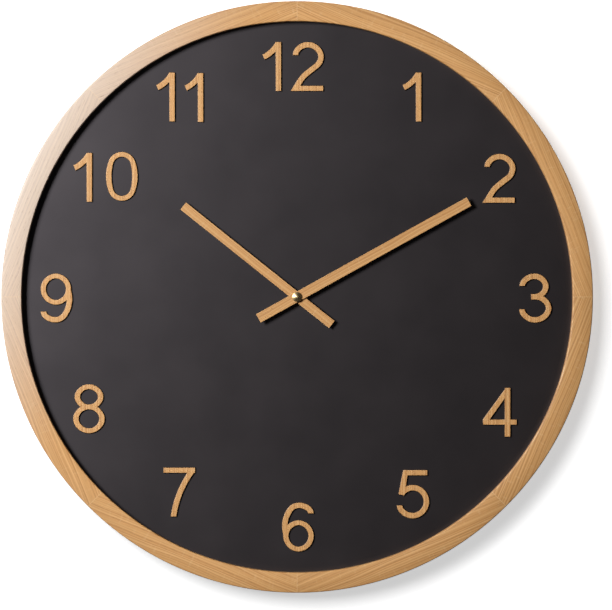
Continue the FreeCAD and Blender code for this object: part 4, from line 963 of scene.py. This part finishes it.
nut_low, nut_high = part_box("hand_cap_nut")
NUT_R, NUT_RIM = nut_high.x, 1.0 * MM
TIP_R, BORE_R = 1.5 * MM, 1.25 * MM
nut_outline = [
    (nut_high.y, BORE_R), (nut_high.y - 1.6 * MM, BORE_R), (nut_high.y - 1.9 * MM, 0.0), (nut_low.y, 0.0),
    *rounded(nut_low.y, TIP_R, 1, -1, 0.25 * MM, 3)[::-1],
    *rounded(nut_high.y - NUT_RIM, NUT_R, 1, -1, 0.25 * MM, 3)[::-1],
    *rounded(nut_high.y, NUT_R, -1, -1, 0.2 * MM, 3),
]
cap_nut = finished("brass_cap_nut", turned("brass_cap_nut", nut_outline, brass))
stands_for(cap_nut, "minute_hand_set", "brass", "hand_cap_nut")


# ---------------------------------------------------------------- wall, light and camera
# A white wall that the frame stands on, seen only from the front, so that the clock's back can be
# looked at too. One soft light from the upper left lights the clock, another the wall, in a pale room.
wall_mesh = bpy.data.meshes.new("white_wall")
WALL_HALF = 3.0
wall_y = BACK + 0.4 * MM
wall_mesh.from_pydata([(x * WALL_HALF, wall_y, z * WALL_HALF)
                       for x, z in ((-1, -1), (1, -1), (1, 1), (-1, 1))], [], [(0, 1, 2, 3)])
wall = bpy.data.objects.new("white_wall", wall_mesh)
bpy.context.scene.collection.objects.link(wall)
wall_paint, tree, shader = finish_named("white_wall_paint", "#F4F4F4", Roughness=0.9, Emission_Strength=0.58)
shader.inputs["Emission Color"].default_value = linear("#FFFFFF")
behind = node(tree, "ShaderNodeNewGeometry").outputs["Backfacing"]
clear = node(tree, "ShaderNodeBsdfTransparent").outputs[0]
one_sided = node(tree, "ShaderNodeMixShader", {0: behind, 1: shader.outputs[0], 2: clear}).outputs[0]
tree.links.new(one_sided, tree.nodes["Material Output"].inputs["Surface"])
wall_mesh.materials.append(wall_paint)
wall.visible_shadow = wall.visible_diffuse = wall.visible_glossy = wall.visible_transmission = False


def soft_light(name, place, size, watts):
    """A square area light that faces the clock."""
    lamp = bpy.data.lights.new(name, "AREA")
    lamp.size, lamp.energy = size, watts
    holder = bpy.data.objects.new(name, lamp)
    holder.location = place
    holder.rotation_euler = (-Vector(place)).to_track_quat("-Z", "Y").to_euler()
    holder.visible_camera = False
    bpy.context.scene.collection.objects.link(holder)
    return holder


key = soft_light("key_upper_left", (-1.52, -2.1, 0.63), 0.75, 92)
wall_light = soft_light("wall_light", (-0.93, -2.6, 0.70), 1.2, 67)
soft_light("fill_left", (-3.0, -1.6, 1.2), 2.4, 3)
soft_light("back_light", (1.2, 3.0, 1.6), 2.2, 170)

# The wall has a light of its own, more nearly square-on, so that the clock's shadow on it stays narrow
for lamp, state in ((key, "EXCLUDE"), (wall_light, "INCLUDE")):
    lit = bpy.data.collections.new(lamp.name + "_receivers")
    lit.objects.link(wall)
    lit.collection_objects[0].light_linking.link_state = state
    lamp.light_linking.receiver_collection = lit

# The room is pale to look at, but lights the clock only a little
room = bpy.data.worlds.new("pale_room")
room.use_nodes = True
sky = room.node_tree.nodes["Background"]
sky.inputs["Color"].default_value = linear("#F2F2F2")
seen = node(room.node_tree, "ShaderNodeLightPath").outputs["Is Camera Ray"]
strength = node(room.node_tree, "ShaderNodeMapRange", {"Value": seen, "To Min": 0.02,
                "To Max": 0.9}).outputs[0]
room.node_tree.links.new(strength, sky.inputs["Strength"])
bpy.context.scene.world = room
bpy.context.scene.view_settings.view_transform = "Standard"

# A long lens, 4.5 m away and square-on
DISTANCE, ELEVATION = 4.5, 0.0
VIEW_W = 0.62036
camera = bpy.data.objects.new("camera", bpy.data.cameras.new("camera"))
camera.data.sensor_width = 36.0
camera.data.lens = camera.data.sensor_width * DISTANCE / VIEW_W
aim = Vector((9.0 * MM, FRONT, -8.2 * MM))
camera.location = aim + DISTANCE * Vector((0, -cos(ELEVATION), sin(ELEVATION)))
camera.rotation_euler = (pi / 2 - ELEVATION, 0, 0)
camera.data.clip_end = 50.0
bpy.context.scene.collection.objects.link(camera)
bpy.context.scene.camera = camera
